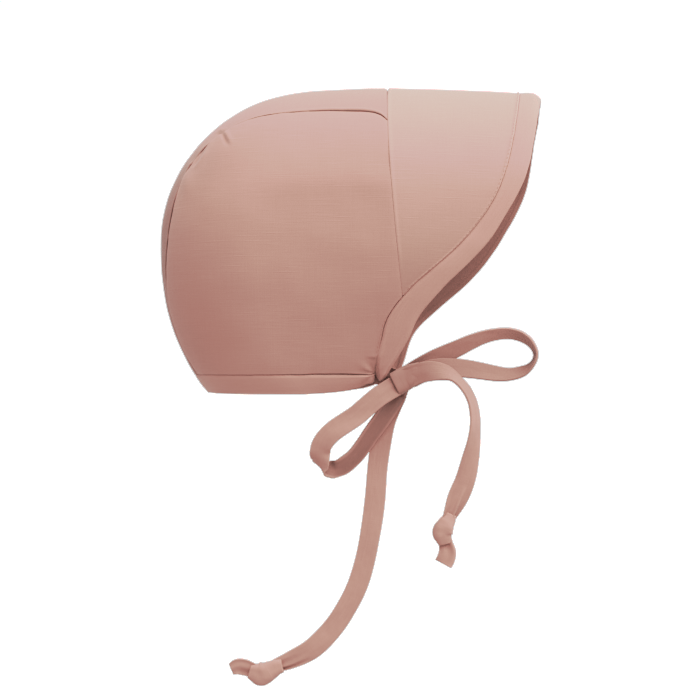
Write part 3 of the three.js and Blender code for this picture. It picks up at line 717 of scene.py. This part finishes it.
def side_panel(name, side):
    """side is 1 on the wearer's left and -1 on the right."""
    top_back = top_run + back_run * 0.52
    neck_end = outline_run - sewn_gap / 2

    def half(along):
        return read_table(crown_band_cut, "along", "half", along) + sewn_gap / 2

    def seam_point(along):
        return outline_point(along, half(along))[..., [0, 2]]

    front_top = half(np.array(sewn_gap))
    front_bottom = arch_quarter + top_line(np.array(brim_seam_x)) - arch_depth - (casing_z + sewn_gap / 2)

    def front(v):
        arch = front_bottom + (front_top - front_bottom) * v
        cheek_gap = 0.00035 * from_to(arch, 0.148, 0.154) * from_to(arch, 0.180, 0.170)
        x = np.minimum(brim_seam(arch), band_column("line", side * arch) - cheek_gap) - sewn_gap / 2
        return np.stack([x, top_line(x) - arch_drop(arch)], -1)

    def back(v):
        return seam_point(neck_end + (top_back - neck_end) * v)

    def place(u, v):
        near_u, near_v = closer_at_ends(u), closer_at_ends(v)
        roll_back = 0.7 * long_seam("roll", outline_run + (top_back - outline_run) * near_v)
        roll_top = 0.45 * long_seam("roll", top_back * (1 - near_u))
        u, deep_u = turned_under(u, panel_width, roll_back, mm_at(near_v, front_roll))
        v, deep_v = turned_under(v, panel_height, mm_at(near_u, casing_roll), roll_top)
        corners = (edge(np.full(1, end)) for end in (0.0, 1.0) for edge in (back, front))
        low_back, low_front, high_back, high_front = corners
        a, b = u[:, None], v[:, None]
        flat = (low_back + (low_front - low_back) * a) * (1 - b) + seam_point(top_back * (1 - u)) * b
        flat += back(v) * (1 - a) + front(v) * a
        flat -= low_back * (1 - a) * (1 - b) + low_front * a * (1 - b)
        flat -= high_back * (1 - a) * b + high_front * a * b
        low = v * panel_height
        flat[:, 1] += mm_at(u, casing_gap) * np.exp(-low / 0.004) * (1 - from_to(deep_v, 0.0004, 0.0008))
        x, z = flat.T
        points = side_point(x, z, side)
        from_seam = np.minimum.reduce([u * panel_width, (1 - u) * panel_width, (1 - v) * panel_height, low])
        lift = 0.0005 * wobble(points * [1, 0, 1.6], 0.035, 3 + side)
        lift += 0.00016 * wobble(points, 0.013, 9 + side)
        eased = hump(x, -0.030, 0.020) * hump(z, -0.036, 0.022)
        lift += (0.00012 + 0.0006 * eased) * wobble(points, 0.0065, 5 + side) * np.exp(-from_seam / 0.005)
        lift += 0.0003 * wobble(points * [1, 0, 0.3], 0.006, 15 + side) * np.exp(-low / 0.006)
        for pucker in puckers:
            lift += crease(points, *pucker)
        lift += 0.0006 * hump(x, -0.0425, 0.004) * hump(z, -0.0480, 0.006)
        # Painted light on the lower back and painted shade high on the back. Beside the seams the cloth is
        # rubbed paler, which also paints a highlight there. Cloth gone under into the seams gets painted
        # shade.
        painted_light_low = hump(x, -0.010, 0.018) * hump(z, -0.146, 0.011)
        painted_shade_high = hump(x, -0.032, 0.019) * hump(z, -0.043, 0.014)
        wear_and_painted_light = 0.6 * hump(from_seam, 0.0006, 0.0009) + 1.1 * painted_light_low - 0.2 * painted_shade_high
        wear_and_painted_light = np.where(deep_v + deep_u > 0.00025, seam_shade, wear_and_painted_light)
        return raised(points, lift - deep_u - deep_v - tie_hollow(points)), flat + [0.3, 0.3], wear_and_painted_light

    return sheet_piece(name, 180, 200, place)


panel_right = side_panel("side_panel_right_cloth", -1)
panel_left = side_panel("side_panel_left_cloth", 1)
print("side panels", len(panel_right.data.vertices), "points each")

# %% [markdown]
# The crown band runs from the brim over the top and down to the nape. At the back of the head it
# turns a tight curve, so the panels are eased into it and the seam puckers. At the brim it ends in a
# deep roll, which leaves a small notch in the bonnet's outline.

# %% Crown band
crown_band_width = 0.075
# shares of the half width from the middle, and the roll at the brim's seam there in mm
notch_roll = [0, 0.4, 0.7, 1], [2.8, 1.6, 0.3, 0.2]
nape_roll = 0.0002


def crown_band_place(u, v):
    rolled = long_seam("roll", outline_run * closer_at_ends(u))
    beside = np.abs(2 * closer_at_ends(v) - 1)
    u, deep_u = turned_under(u, outline_run, mm_at(beside, notch_roll), nape_roll)
    v, deep_v = turned_under(v, crown_band_width, rolled, rolled)
    along = sewn_gap / 2 + (outline_run - sewn_gap) * u
    gap = long_seam("gap", along) * (1 - from_to(deep_v, 0.0008, 0.0013))
    half = read_table(crown_band_cut, "along", "half", along) - sewn_gap / 2 - gap
    arch = (2 * v - 1) * half
    points = outline_point(along, arch)
    from_seam = half - np.abs(arch)
    lift = 0.0004 * wobble(points, 0.030, 8) + 0.00012 * wobble(points, 0.012, 10)
    eased = hump(along, 0.112, 0.024)
    lift += (0.0001 + 0.0009 * eased) * wobble(points, 0.006, 9) * np.exp(-from_seam / 0.006)
    lift += 0.5 * (long_seam("roll", along) - tight_roll) * hump(from_seam, 0.0012, 0.0010)
    lift += crease(points, *puckers[0])
    # Cloth gone under into the seams gets painted shade. Beside them the cloth is rubbed paler, which also
    # paints a highlight on the roll.
    wear_and_painted_light = np.where(deep_v > 0.0002, seam_shade, 0.7 * hump(from_seam, 0.0008, 0.0012))
    return raised(points, lift - deep_u - deep_v), np.stack([along, arch + 0.6], -1), wear_and_painted_light


crown_band = sheet_piece("crown_band_cloth", 260, 80, crown_band_place)
print("crown band", len(crown_band.data.vertices), "points")

# %% [markdown]
# The brim is two firm layers, so it stands out smoothly by itself. It is made as one sheet, from the
# crown's seam to the binding's, thicker than the crown. Beside the binding it stands up in a narrow
# ridge, where its layers are turned and stitched.

# %% Brim
brim_depth = 0.060
brim_thickness = 0.0018
# distances from the middle, and the roll at the crown's seam there in mm
crown_roll = [0, 0.020, 0.036, 0.060, 0.140], [1.5, 0.9, 0.2, 0.10, 0.08]


def brim_swing(points):
    return 0.0004 * wobble(points, 0.040, 12) + 0.00015 * wobble(points, 0.014, 13)


def brim_place(u, v):
    arch = (2 * u - 1) * brim_tip
    v, deep_v = turned_under(v, brim_depth, mm_at(np.abs(arch), crown_roll), tight_roll)
    start = brim_seam(arch) + sewn_gap / 2
    end = band_column("line", arch) - sewn_gap / 2
    x = start + (end - start) * v
    points = top_point(x, arch)
    pressed = from_to(np.abs(arch), 0.140, 0.128)
    sharp = np.minimum(1, (end - start) / 0.006)
    lift = brim_swing(points) + 0.00018 * pressed * hump(x - start, 0.0009, 0.0007)
    ridge = 0.00038 * hump(end - x, 0.0009, 0.00055)
    lift += sharp * ridge * (1 + 0.5 * wobble(points, 0.0035, 14))
    # Paler beside both seams: rubbed cloth, and a painted highlight on the ridge beside the binding.
    wear_and_painted_light = 0.5 * pressed * hump(x - start, 0.0008, 0.0010) + 0.9 * hump(end - x, 0.0009, 0.0007)
    return raised(points, lift - deep_v * sharp), np.stack([x + 0.9, arch + 0.4], -1), wear_and_painted_light


brim = sheet_piece("brim_cloth", 280, 80, brim_place, thickness=brim_thickness)
print("brim", len(brim.data.vertices), "points")

# %% [markdown]
# The binding round the face and the neck band are folded strips: the cloth goes round the edge and
# is stitched down on both faces. Each is a closed section carried along its line, round at the folded
# edge and tucked in at the seam.

# %% Folded bands
fold_radius = 0.0008
inner_turn = 0.80               # on the inside the cloth reaches only this near the seam
# painted shade on the band's inner face, from the seam (0) to the fold (1)
inner_shade = [0, 0.4, 0.8, 1], [-0.70, -0.62, -0.50, -0.44]
under_seam = 0.06               # the inner layer reaches this share of the width past the seam
outer_stations, inner_stations = 22, 9
pointed_end = 0.0035            # the length over which the front band narrows to its two ends
neck_band_width = 0.0100
corner_arches = 0.155, 0.167    # over these the fold grows sharp towards the front corner, with a painted highlight along it
pressed_arches = 0.172, 0.180   # and over these its seam goes flat


def band_section():
    """Places round a folded band: how far across (0 at the seam, 1 at the fold), how far past and out."""
    outer = closer_at_ends(np.linspace(0, 1, outer_stations), 0.8)
    inner = np.linspace(-under_seam, 1, inner_stations)
    inner = np.sort(np.append(inner, [inner_turn - 0.06, inner_turn + 0.03]))[::-1]
    turn = np.radians(np.linspace(60, -60, 5))
    across = np.concatenate([outer, np.ones(5), inner])
    past = np.concatenate([np.zeros(outer_stations), fold_radius * np.cos(turn), np.zeros(len(inner))])
    inner_rise = np.where(inner > inner_turn, -0.8 * fold_radius, -0.3 * fold_radius)
    rise = np.concatenate([fold_radius * np.ones(outer_stations), fold_radius * np.sin(turn), inner_rise])
    return tuple(np.append(column, column[0]) for column in (across, past, rise))


def folded_band(name, steps, at_place, seed, roll, lower, ridge):
    """at_place(u, across, past) gives the point on the form, the place along and the band's width.
    roll is the radius at the seam, lower how deep the seam lies, ridge(along) how high beside it."""
    across, past, rise = band_section()

    def place(u, v):
        j = np.rint(v * (len(across) - 1)).astype(int)
        points, along, wide = at_place(u, across[j], past[j])
        from_seam = across[j] * wide
        from_fold = wide - from_seam
        from_middle = np.abs(along - 0.5)
        corner = from_to(from_middle, *corner_arches)
        pressed = 1 - 0.75 * from_to(from_middle, *pressed_arches)
        rolled = np.clip(1 - from_seam / roll, 0, 1)
        height = 0.00055 * corner * hump(from_fold, 0.0011, 0.0009) + 0.0002 * np.sin(math.pi * across[j])
        height -= 1.6 * roll * pressed * (1 - np.sqrt(np.maximum(0, 1 - rolled**2)))
        height -= lower * pressed * hump(from_seam, 0, 0.0020)
        height += ridge(along) * hump(from_seam, 0.0014, 0.0007)
        outer = rise[j] > 0
        height = np.where(outer, height, 0) + rise[j] - fold_radius + 0.0001
        height += 0.00025 * wobble(points, 0.014, seed)
        height += 0.00014 * wobble(points, 0.0045, seed + 1) * np.exp(-from_seam / 0.003)
        # The fold and the ridge beside the seam are rubbed paler, which also paints a highlight on them. Near
        # the front corners a painted highlight lies along the fold, and the inner face gets painted shade,
        # less of it at the corners, which see more light.
        wear_and_painted_light = np.clip(past[j] / fold_radius, 0, 1) + 0.5 * hump(from_seam, 0.0016, 0.0008)
        wear_and_painted_light += 1.2 * corner * hump(from_fold, 0, 0.0013)
        inner_painted_shade = np.interp(across[j], *inner_shade) * (1 - 0.9 * corner)
        weave = np.stack([along, from_seam + np.where(outer, 0, 0.03)], -1)
        tone = np.where(outer, np.clip(wear_and_painted_light, 0, 1.3), inner_painted_shade)
        return raised(points, height - tie_hollow(points)), weave, tone

    return lay_grid(name, steps, len(across) - 1, place, closed=True)


def front_band_place(u, across, past):
    arch = (2 * u - 1) * band_end
    start, end = band_column("line", arch) + sewn_gap / 2, band_column("edge", arch) - fold_radius
    end = end + 0.0003 * wobble_at(arch / 0.010, 0, 0, 31)
    narrow = np.sqrt(np.maximum(0.02, 1 - from_to(np.abs(arch), band_end - pointed_end, band_end) ** 2))
    middle = (start + end) / 2
    start, end = middle + (start - middle) * narrow, middle + (end - middle) * narrow
    return top_point(start + (end - start) * across + past * narrow, arch), arch + 0.5, (end - start) * narrow


def neck_band_place(u, across, past):
    seam_z = casing_z - sewn_gap / 2
    end_z = hem_line(edge_band["edge"][-1])
    z_near_end = seam_z + (end_z - seam_z) * across
    arch_near_end = np.minimum(arch_quarter - arch_depth + top_z - z_near_end, band_end)
    front_end = band_column("line", -arch_near_end) - 0.0003 * (1 + 2 * across)

    def reach(z):
        return arch_quarter - arch_depth + front_end - nape_line(z)

    x = nape_line(np.full_like(u, seam_z)) + arch_drop((2 * u - 1) * reach(seam_z))
    z = seam_z + (hem_line(x) + fold_radius - seam_z) * across - past
    along = (2 * u - 1) * reach(z)
    return nape_point(z, along), along + 0.5, np.full_like(u, neck_band_width)


def cheek_ridge(along):
    """Below the brim the binding itself stands up beside its seam."""
    return 0.00042 * from_to(np.abs(along - 0.5), 0.146, 0.156)


front_band = folded_band("front_band_cloth", 360, front_band_place, 20, 0.00028, 0.00022, cheek_ridge)
neck_band = folded_band("neck_band_cloth", 240, neck_band_place, 24, 0.0004, 0.00015, lambda along: 0.00018)
print("front band", len(front_band.data.vertices), "points, neck band", len(neck_band.data.vertices))

# %% [markdown]
# A row of machine stitches holds the binding down. Each is a small thread that rises from one hole
# and dips into the next, so it is a ball drawn out long, sunk by half into the cloth. They are a few
# faces each, all in one mesh.

# %% Stitches
stitch_pitch = 0.0024
stitch_shape = Matrix.Diagonal((0.0019, 0.00026, 0.00026, 1))
stitch_end = 0.186
look_ahead = 0.0005


def mesh_object(name, bm):
    """A new object of a bmesh, which is freed."""
    mesh = bpy.data.meshes.new(name)
    bm.to_mesh(mesh)
    bm.free()
    return add_object(name, mesh)


stitch_arch = np.linspace(-stitch_end, stitch_end, 900)
on_form = top_point(band_column("line", stitch_arch) - 0.0009, stitch_arch)
stitch_lift = np.interp(np.abs(stitch_arch), [0, 0.146, 0.152], [0.00046, 0.00046, 0.00008])
stitch_lift += np.where(np.abs(stitch_arch) < 0.149, brim_swing(on_form), 0)
stitch_line = raised(on_form, stitch_lift - tie_hollow(on_form))
travelled = distance_along(stitch_line)
bm = bmesh.new()
for at in np.arange(stitch_pitch, travelled[-1] - stitch_pitch, stitch_pitch):
    here, ahead = (
        Vector([np.interp(place, travelled, column) for column in stitch_line.T])
        for place in (at, at + look_ahead)
    )
    turn = (ahead - here).to_track_quat("X", "Z").to_matrix().to_4x4()
    lay = Matrix.Translation(here) @ turn @ stitch_shape
    bmesh.ops.create_uvsphere(bm, u_segments=6, v_segments=4, radius=0.5, matrix=lay)
stitches = mesh_object("edge_stitches", bm)
stitches.data.shade_smooth()
print(len(stitches.data.polygons), "faces of stitches")

# %% [markdown]
# A knot in a flat tie is a turn of the strip drawn tight round the rest: a short bag with a lip at
# each end, where the folded edge rolls in. Each is a grid rolled into a tube and carried along a few
# sections, which say how wide and deep it is.

# %% Knots
knot_steps = 60
knot_lip = 0.0006
knot_squareness = 0.62
lip_share = 0.08                # of the knot's grid, at each end
smallest_half = 0.0008, 0.0006


def rounded(value):
    """A sine or cosine drawn towards a square."""
    return np.sign(value) * np.abs(value) ** knot_squareness


def knotted(name, sections, seed):
    """sections, in mm: x, y, z of the middle, the direction across, half width, half depth."""
    rows, length, run, across, face = carried(sections, knot_steps)

    def place(u, v):
        turn = 2 * math.pi * v
        curl = from_to(np.abs(2 * u - 1), 1 - 2 * lip_share, 1) * math.pi * 0.8
        walked = from_to(u, lip_share, 1 - lip_share) * knot_steps
        i = np.clip(walked.astype(int), 0, knot_steps - 1)
        part = (walked - i)[:, None]

        def blend(column):
            return column[i] * (1 - part) + column[i + 1] * part

        size = blend(rows[:, 6:8]) / 1000
        inset = knot_lip * (1 - np.cos(curl)) * 1.3
        ahead = knot_lip * np.sin(curl) * np.sign(u - 0.5)
        bulging = 1 + 0.035 * np.cos(2 * turn + 9 * u + seed) * np.sin(math.pi * u)
        wide = rounded(np.cos(turn)) * np.maximum(smallest_half[0], size[:, 0] * bulging - inset)
        thick = rounded(np.sin(turn)) * np.maximum(smallest_half[1], size[:, 1] * bulging - inset)
        out = blend(across) * wide[:, None] + blend(face) * thick[:, None]
        points = blend(rows[:, :3]) + out + blend(run) * ahead[:, None]
        fold = 0.0003 * wobble_at(u * 3.2 + 0.5 * np.cos(turn), np.cos(turn), np.sin(turn), seed)
        fold += 0.00022 * wobble(points, 0.0035, seed + 3)
        weave = np.stack([v * 0.034, u * length + 0.2 * seed], -1)
        return points + unit(out) * fold[:, None], weave, 0.3 + 0.5 * hump(curl, 0.9, 0.7)

    return lay_grid(name, 56, 72, place, closed=True)


bow_knot = knotted("bow_knot_cuff", [
    (69.2, -46.2, -155.3, 0.58, 0, -0.81, 6.2, 4),
    (72.2, -46.2, -153.8, 0.34, 0, -0.94, 6.2, 4.4),
    (75.2, -46.2, -152, 0.10, 0, -0.99, 6.2, 4.4),
    (78.4, -46.8, -150.6, 0.10, 0, -0.99, 6, 4.2),
    (82.2, -47.8, -149.5, 0.15, 0, -0.98, 5.5, 4),
], 3)
knot_back = knotted("tail_knot_back_cuff", [
    (9.4, -47, -303.5, 0, 0, -1, 3.5, 2.8),
    (6.8, -47, -304.1, 0, 0, -1, 4, 3.4),
    (3.8, -47, -305.6, 0, 0, -1, 5, 3.8),
    (0.6, -47.1, -307.2, 0, 0, -1, 5.9, 4),
    (-2.2, -47.2, -307.7, 0, 0, -1, 5.8, 3.9),
    (-5, -47.4, -307.2, 0, 0, -1, 4.7, 3.5),
    (-7.2, -47.6, -306.6, 0, 0, -1, 3.7, 2.8),
], 5)
knot_front = knotted("tail_knot_front_cuff", [
    (98.3, -53, -223, -1, 0, -0.05, 3, 2.6),
    (97.1, -53, -225.6, -1, 0, 0.1, 3.8, 3.4),
    (95.6, -53.1, -228.2, -1, 0, 0.1, 4.6, 4.2),
    (94.4, -53.1, -230.8, -1, 0, 0.1, 5.1, 4.5),
    (94, -53.2, -233.2, -1, 0, 0, 4.9, 4.3),
    (94.5, -53.3, -235.6, -1, 0, -0.1, 4.2, 3.6),
    (95, -53.4, -237.8, -1, 0, -0.1, 3.4, 2.8),
], 7)
flap_back = strip("tail_knot_back_flap", routes["flap_back"], 36, 11, width=0.0104, squeeze=(0.5, 0.2))[0]
flap_front = strip("tail_knot_front_flap", routes["flap_front"], 36, 12, width=0.0100, squeeze=(0.7, 0.3))[0]
print("knots of", len(bow_knot.data.vertices), "points, flared ends of", len(flap_back.data.vertices))

# %% [markdown]
# Cloth has no joints, so the bonnet is one body and every piece rides on it. Each hides the CAD
# solid whose place it fills, and is listed beside one of the record's material slots. Each stands
# for the CAD solid whose place it fills, which stays in the physics model. The stitches are extra:
# they fill no solid's place.

# %% Every piece rides on the one body and hides its CAD solid
seats = [
    (panel_right, "side_panel_right", "panel_cloth"),
    (panel_left, "side_panel_left", "panel_cloth"),
    (crown_band, "crown_band", "panel_cloth"),
    (brim, "brim", "brim_cloth"),
    (front_band, "front_band", "binding_cloth"),
    (neck_band, "neck_band", "binding_cloth"),
    (bow_knot, "bow_knot", "tie_cloth"),
    (knot_back, "tail_knot_back", "tie_cloth"),
    (flap_back, "tail_knot_back", "tie_cloth"),
    (knot_front, "tail_knot_front", "tie_cloth"),
    (flap_front, "tail_knot_front", "tie_cloth"),
]
for piece, node, slot in seats:
    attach(piece, "root")
    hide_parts(node)
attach(stitches, "root")
print(len(seats) + 1, "pieces besides the strips")

# %% [markdown]
# The panels, the crown band and the brim are flat cloth, cut to shape and sewn into a round form.
# Each is listed with the rectangle that it is cut from and the area of its own outline, and the
# rectangle is printed. The binding and the neck band are listed with them as their hems.

# %% The cut cloth
for piece, flat, area, on_it in [
    (panel_right, (0.150, 0.160), 0.0190, []),
    (panel_left, (0.150, 0.160), 0.0190, []),
    (crown_band, (0.125, 0.265), 0.0200, [neck_band]),
    (brim, (0.085, 0.320), 0.0175, [front_band, stitches]),
]:
    print(piece.name, "is cut from", flat)

# %% [markdown]
# The strips hang free between the bonnet, the bow knot and their own end knots. The right tie is
# only two centimetres from the corner to the knot and lies on the cloth, so it is left out. A loop
# goes back into the knot, and a tail ends in a knot of its own. Where each free length starts is printed.

# %% Where each free length of the ties starts
for name, far_end, on_it in [
    ("tie_left", "object", []),
    ("bow_loop_back", "object", []),
    ("bow_loop_front", "object", []),
    ("tail_back", "knot", [knot_back, flap_back]),
    ("tail_front", "knot", [knot_front, flap_front]),
]:
    piece, path, length = ties[name]
    print(name, "hangs free from", tuple(round(value, 3) for value in path[0]))

# %% [markdown]
# The linen is a fine plain weave, dyed a dusty rose, with thicker slubs. It is drawn on the weave
# map: two waves crossed give the over and under of the threads, stretched noise gives the slubs, and
# both drive the bump. Hard folds are rubbed a little paler, which also paints highlights on ridges,
# and cloth in seams, inside the bands and inside a loop gets painted shade. A ramp over each cloth's
# height paints light and shade: paler where the overhead light falls, darker where it is shaded.

# %% Linen
thread_pitch = 0.00048
thread_scale = 2 * math.pi / (20 * thread_pitch)
rose = (0.209, 0.0965, 0.0812)
# Painted light and shade by height: the panels paler at mid height where the overhead light falls, the brim
# darker low down, the crown band darker down the back, and the ties darker round the knot, a painted shadow
# of the brim.
panel_painted_light = [(0, 0.98), (0.19, 0.96), (0.42, 1.03), (0.62, 1.12), (0.81, 1.04), (1, 1.0)]
brim_painted_light = [(0, 0.74), (0.20, 0.77), (0.30, 0.84), (0.42, 0.94), (0.60, 1.11), (0.81, 1.04), (1, 1.0)]
crown_painted_shade = [(0, 0.80), (0.30, 0.68), (0.50, 0.66), (0.68, 0.76), (0.85, 0.96), (1, 1.0)]
tie_painted_shadow = [(0, 0.98), (0.35, 1.02), (0.45, 1.02), (0.53, 0.90), (0.59, 0.82), (0.74, 0.76), (0.83, 0.93)]
tie_painted_shadow += [(1, 1.08)]
bonnet_reach = (-0.130, 0.0)    # the heights between which the painted light and shade run
tie_reach = (-0.22, -0.12)


def paint(links, node, sockets):
    """Gives each socket of a node its value, or joins it to another node's output."""
    for socket, value in sockets.items():
        if isinstance(value, bpy.types.NodeSocket):
            links.new(value, node.inputs[socket])
        else:
            node.inputs[socket].default_value = value
    return node.outputs


def linen(name, colour, seed, slub=0.40, painted_by_height=panel_painted_light, reach=bonnet_reach, shade_depth=0.8):
    """slub is how strongly the thick threads show. The last argument sets how dark the painted shade is, on
    cloth gone under into a seam and on faces in shade.
    """
    material = bpy.data.materials.new(name)
    material.use_nodes = True
    nodes, links = material.node_tree.nodes, material.node_tree.links

    def node(kind, sockets, **settings):
        made = nodes.new("ShaderNode" + kind)
        for setting, value in settings.items():
            setattr(made, setting, value)
        return paint(links, made, sockets)

    def maths(operation):
        return lambda a, b: node("Math", {0: a, 1: b}, operation=operation)[0]

    add, minus, times, larger, smaller = map(maths, ("ADD", "SUBTRACT", "MULTIPLY", "MAXIMUM", "MINIMUM"))

    def mixed(factor, a, b, blend="MIX"):
        sockets = {"Factor": factor, "A": a, "B": b}
        return node("Mix", sockets, data_type="RGBA", blend_type=blend)["Result"]

    def threads(direction):
        uneven = {"Distortion": 1.2, "Detail": 1.0, "Detail Scale": 0.12}
        sockets = {"Vector": weave, "Scale": thread_scale, **uneven}
        return node("TexWave", sockets, bands_direction=direction)["Fac"]

    def stretched(scale, detail=2.0):
        shift = (seed * 0.37, seed * 0.53, 0)
        turned = node("Mapping", {"Vector": weave, "Location": shift, "Scale": scale})["Vector"]
        return node("TexNoise", {"Vector": turned, "Scale": 1.0, "Detail": detail})["Fac"]

    def toned(by, more=0):
        return tuple(min(1, c * by + more) for c in colour) + (1,)

    deep, pale = toned(0.84), toned(1.14, 0.004)
    weave = node("UVMap", {}, uv_map="weave")["UV"]
    over_under = times(minus(threads("X"), 0.5), minus(threads("Y"), 0.5))
    slubs = add(times(stretched((60, 1300, 1)), 0.62), times(stretched((1300, 50, 1)), 0.38))
    thick_slubs = times(larger(minus(stretched((45, 1000, 1), 1.0), 0.60), 0), 3.0)
    shade = mixed(add(times(minus(slubs, 0.5), 1.8 * slub), 0.5), deep, pale)
    cloudy = mixed(times(stretched((24, 24, 1), 4.0), 0.30), shade, deep)
    woven = mixed(add(times(over_under, 0.5), 0.12), cloudy, pale)
    slubbed = mixed(times(thick_slubs, slub), woven, pale)
    # Above 0 the cloth mixes towards pale, for rubbed wear and painted highlight. Below 0 it mixes towards a
    # dark tone, for painted shade.
    wear_and_painted_light = node("Attribute", {}, attribute_name="wear_and_painted_light")["Fac"]
    wear_and_highlight = mixed(times(larger(wear_and_painted_light, 0), 0.45), slubbed, pale)
    painted_shade = mixed(times(smaller(wear_and_painted_light, 0), -shade_depth), wear_and_highlight, toned(0.22))

    height = node("SeparateXYZ", {"Vector": node("TexCoord", {})["Object"]})["Z"]
    level = node("MapRange", {"Value": height, "From Min": reach[0], "From Max": reach[1]})["Result"]
    light_ramp = nodes.new("ShaderNodeValToRGB")
    for at, _ in painted_by_height[1:-1]:
        light_ramp.color_ramp.elements.new(at)
    for stop, (at, left) in zip(light_ramp.color_ramp.elements, painted_by_height):
        stop.position, stop.color = at, (left, left, left, 1)
    painted_light = paint(links, light_ramp, {"Fac": level})["Color"]
    relief = add(times(over_under, 0.5), add(slubs, thick_slubs))
    paint(links, nodes["Principled BSDF"], {
        "Base Color": mixed(1.0, painted_shade, painted_light, "MULTIPLY"),
        "Normal": node("Bump", {"Height": relief, "Strength": 0.35, "Distance": 0.00025})["Normal"],
        "Roughness": 0.86,
        "Specular IOR Level": 0.12,
        "Sheen Weight": 0.06,
        "Sheen Roughness": 0.45,
        "Sheen Tint": (1.0, 0.9, 0.86, 1),
    })
    return material


def dyed(strength):
    """The rose made lighter or darker, or each of its three colours by itself."""
    return tuple(np.multiply(rose, strength))


panel_linen = linen("panel_linen", rose, 1)
# The crown band is the panels' linen with painted shade down the back.
crown_shaded_linen = linen("crown_shaded_linen", rose, 1, painted_by_height=crown_painted_shade)
brim_linen = linen("brim_linen", dyed([1.15, 1.19, 1.18]), 2, slub=0.36, painted_by_height=brim_painted_light)
binding_linen = linen("binding_linen", dyed(1.14), 3)
tie_linen = linen("tie_linen", dyed(0.98), 4, painted_by_height=tie_painted_shadow, reach=tie_reach)
inside_linen = linen("inside_linen", rose, 5, shade_depth=0.3)
# The brim's inner face is the rose darkened to 0.55: painted shade inside the brim.
brim_inside_shaded_linen = linen("brim_inside_shaded_linen", dyed(0.55), 6, shade_depth=0.3)

for material, pieces in [
    (panel_linen, [panel_right, panel_left]),
    (crown_shaded_linen, [crown_band]),
    (brim_linen, [brim]),
    (binding_linen, [front_band, neck_band, stitches]),
    (tie_linen, [bow_knot, knot_back, flap_back, knot_front, flap_front] + [tie[0] for tie in ties.values()]),
]:
    for piece in pieces:
        piece.data.materials.clear()
        piece.data.materials.append(material)
        if "wall" in piece.modifiers:
            piece.data.materials.append(brim_inside_shaded_linen if piece is brim else inside_linen)
    print(material.name, "on", len(pieces), "pieces")

# %% [markdown]
# The studio is plain: a pale floor well below the bonnet, white air all round and one broad soft
# light overhead, which makes the crown pale and lets the cheeks fall darker. It is a sun with a very
# wide disc, so it leaves no hard shadow. A tone curve sets how the light reads in the picture.

# %% Floor, air and lights
floor_drop = 0.20
floor_radius = 30.0
floor_grey = (0.36, 0.36, 0.36, 1)
sun_way = Vector((-0.45, 0.34, -1.0))
sun_width = 75
tone_curve = [(0.04, 0.056), (0.08, 0.115), (0.12, 0.178), (0.16, 0.243), (0.21, 0.332), (0.265, 0.410)]
tone_curve += [(0.335, 0.462), (0.42, 0.538), (0.51, 0.615), (0.62, 0.656), (0.88, 0.710)]

bm = bmesh.new()
bmesh.ops.create_circle(bm, cap_ends=True, segments=96, radius=floor_radius)
floor = mesh_object("floor", bm)
floor.data.transform(Matrix.Translation((0, 0, cad_low.z - floor_drop)))
floor_paint = bpy.data.materials.new("floor_paint")
floor_paint.use_nodes = True
floor_tree = floor_paint.node_tree
paint(floor_tree.links, floor_tree.nodes["Principled BSDF"], {"Base Color": floor_grey, "Roughness": 0.9})
floor.data.materials.append(floor_paint)

air = bpy.data.worlds.new("air")
air.use_nodes = True
air_tree = air.node_tree
paint(air_tree.links, air_tree.nodes["Background"], {"Color": (1, 1, 1, 1), "Strength": 1.04})
bpy.context.scene.world = air

view = bpy.context.scene.view_settings
view.view_transform = "Standard"
view.use_curve_mapping = True
tone = view.curve_mapping.curves[3]
tone.points[0].location = (0, 0)
tone.points[1].location = (1, 1)
for light_in, light_out in tone_curve:
    tone.points.new(light_in, light_out)
for point in tone.points:
    point.handle_type = "VECTOR"
view.curve_mapping.update()

overhead_data = bpy.data.lights.new("overhead", "SUN")
overhead_data.angle = math.radians(sun_width)
overhead_data.energy = 8.0
overhead_data.color = (1, 1, 0.965)
overhead = add_object("overhead", overhead_data)
overhead.rotation_euler = sun_way.to_track_quat("-Z", "Y").to_euler()
print("floor at", round(cad_low.z - floor_drop, 3), "m, sun", sun_width, "degrees wide")
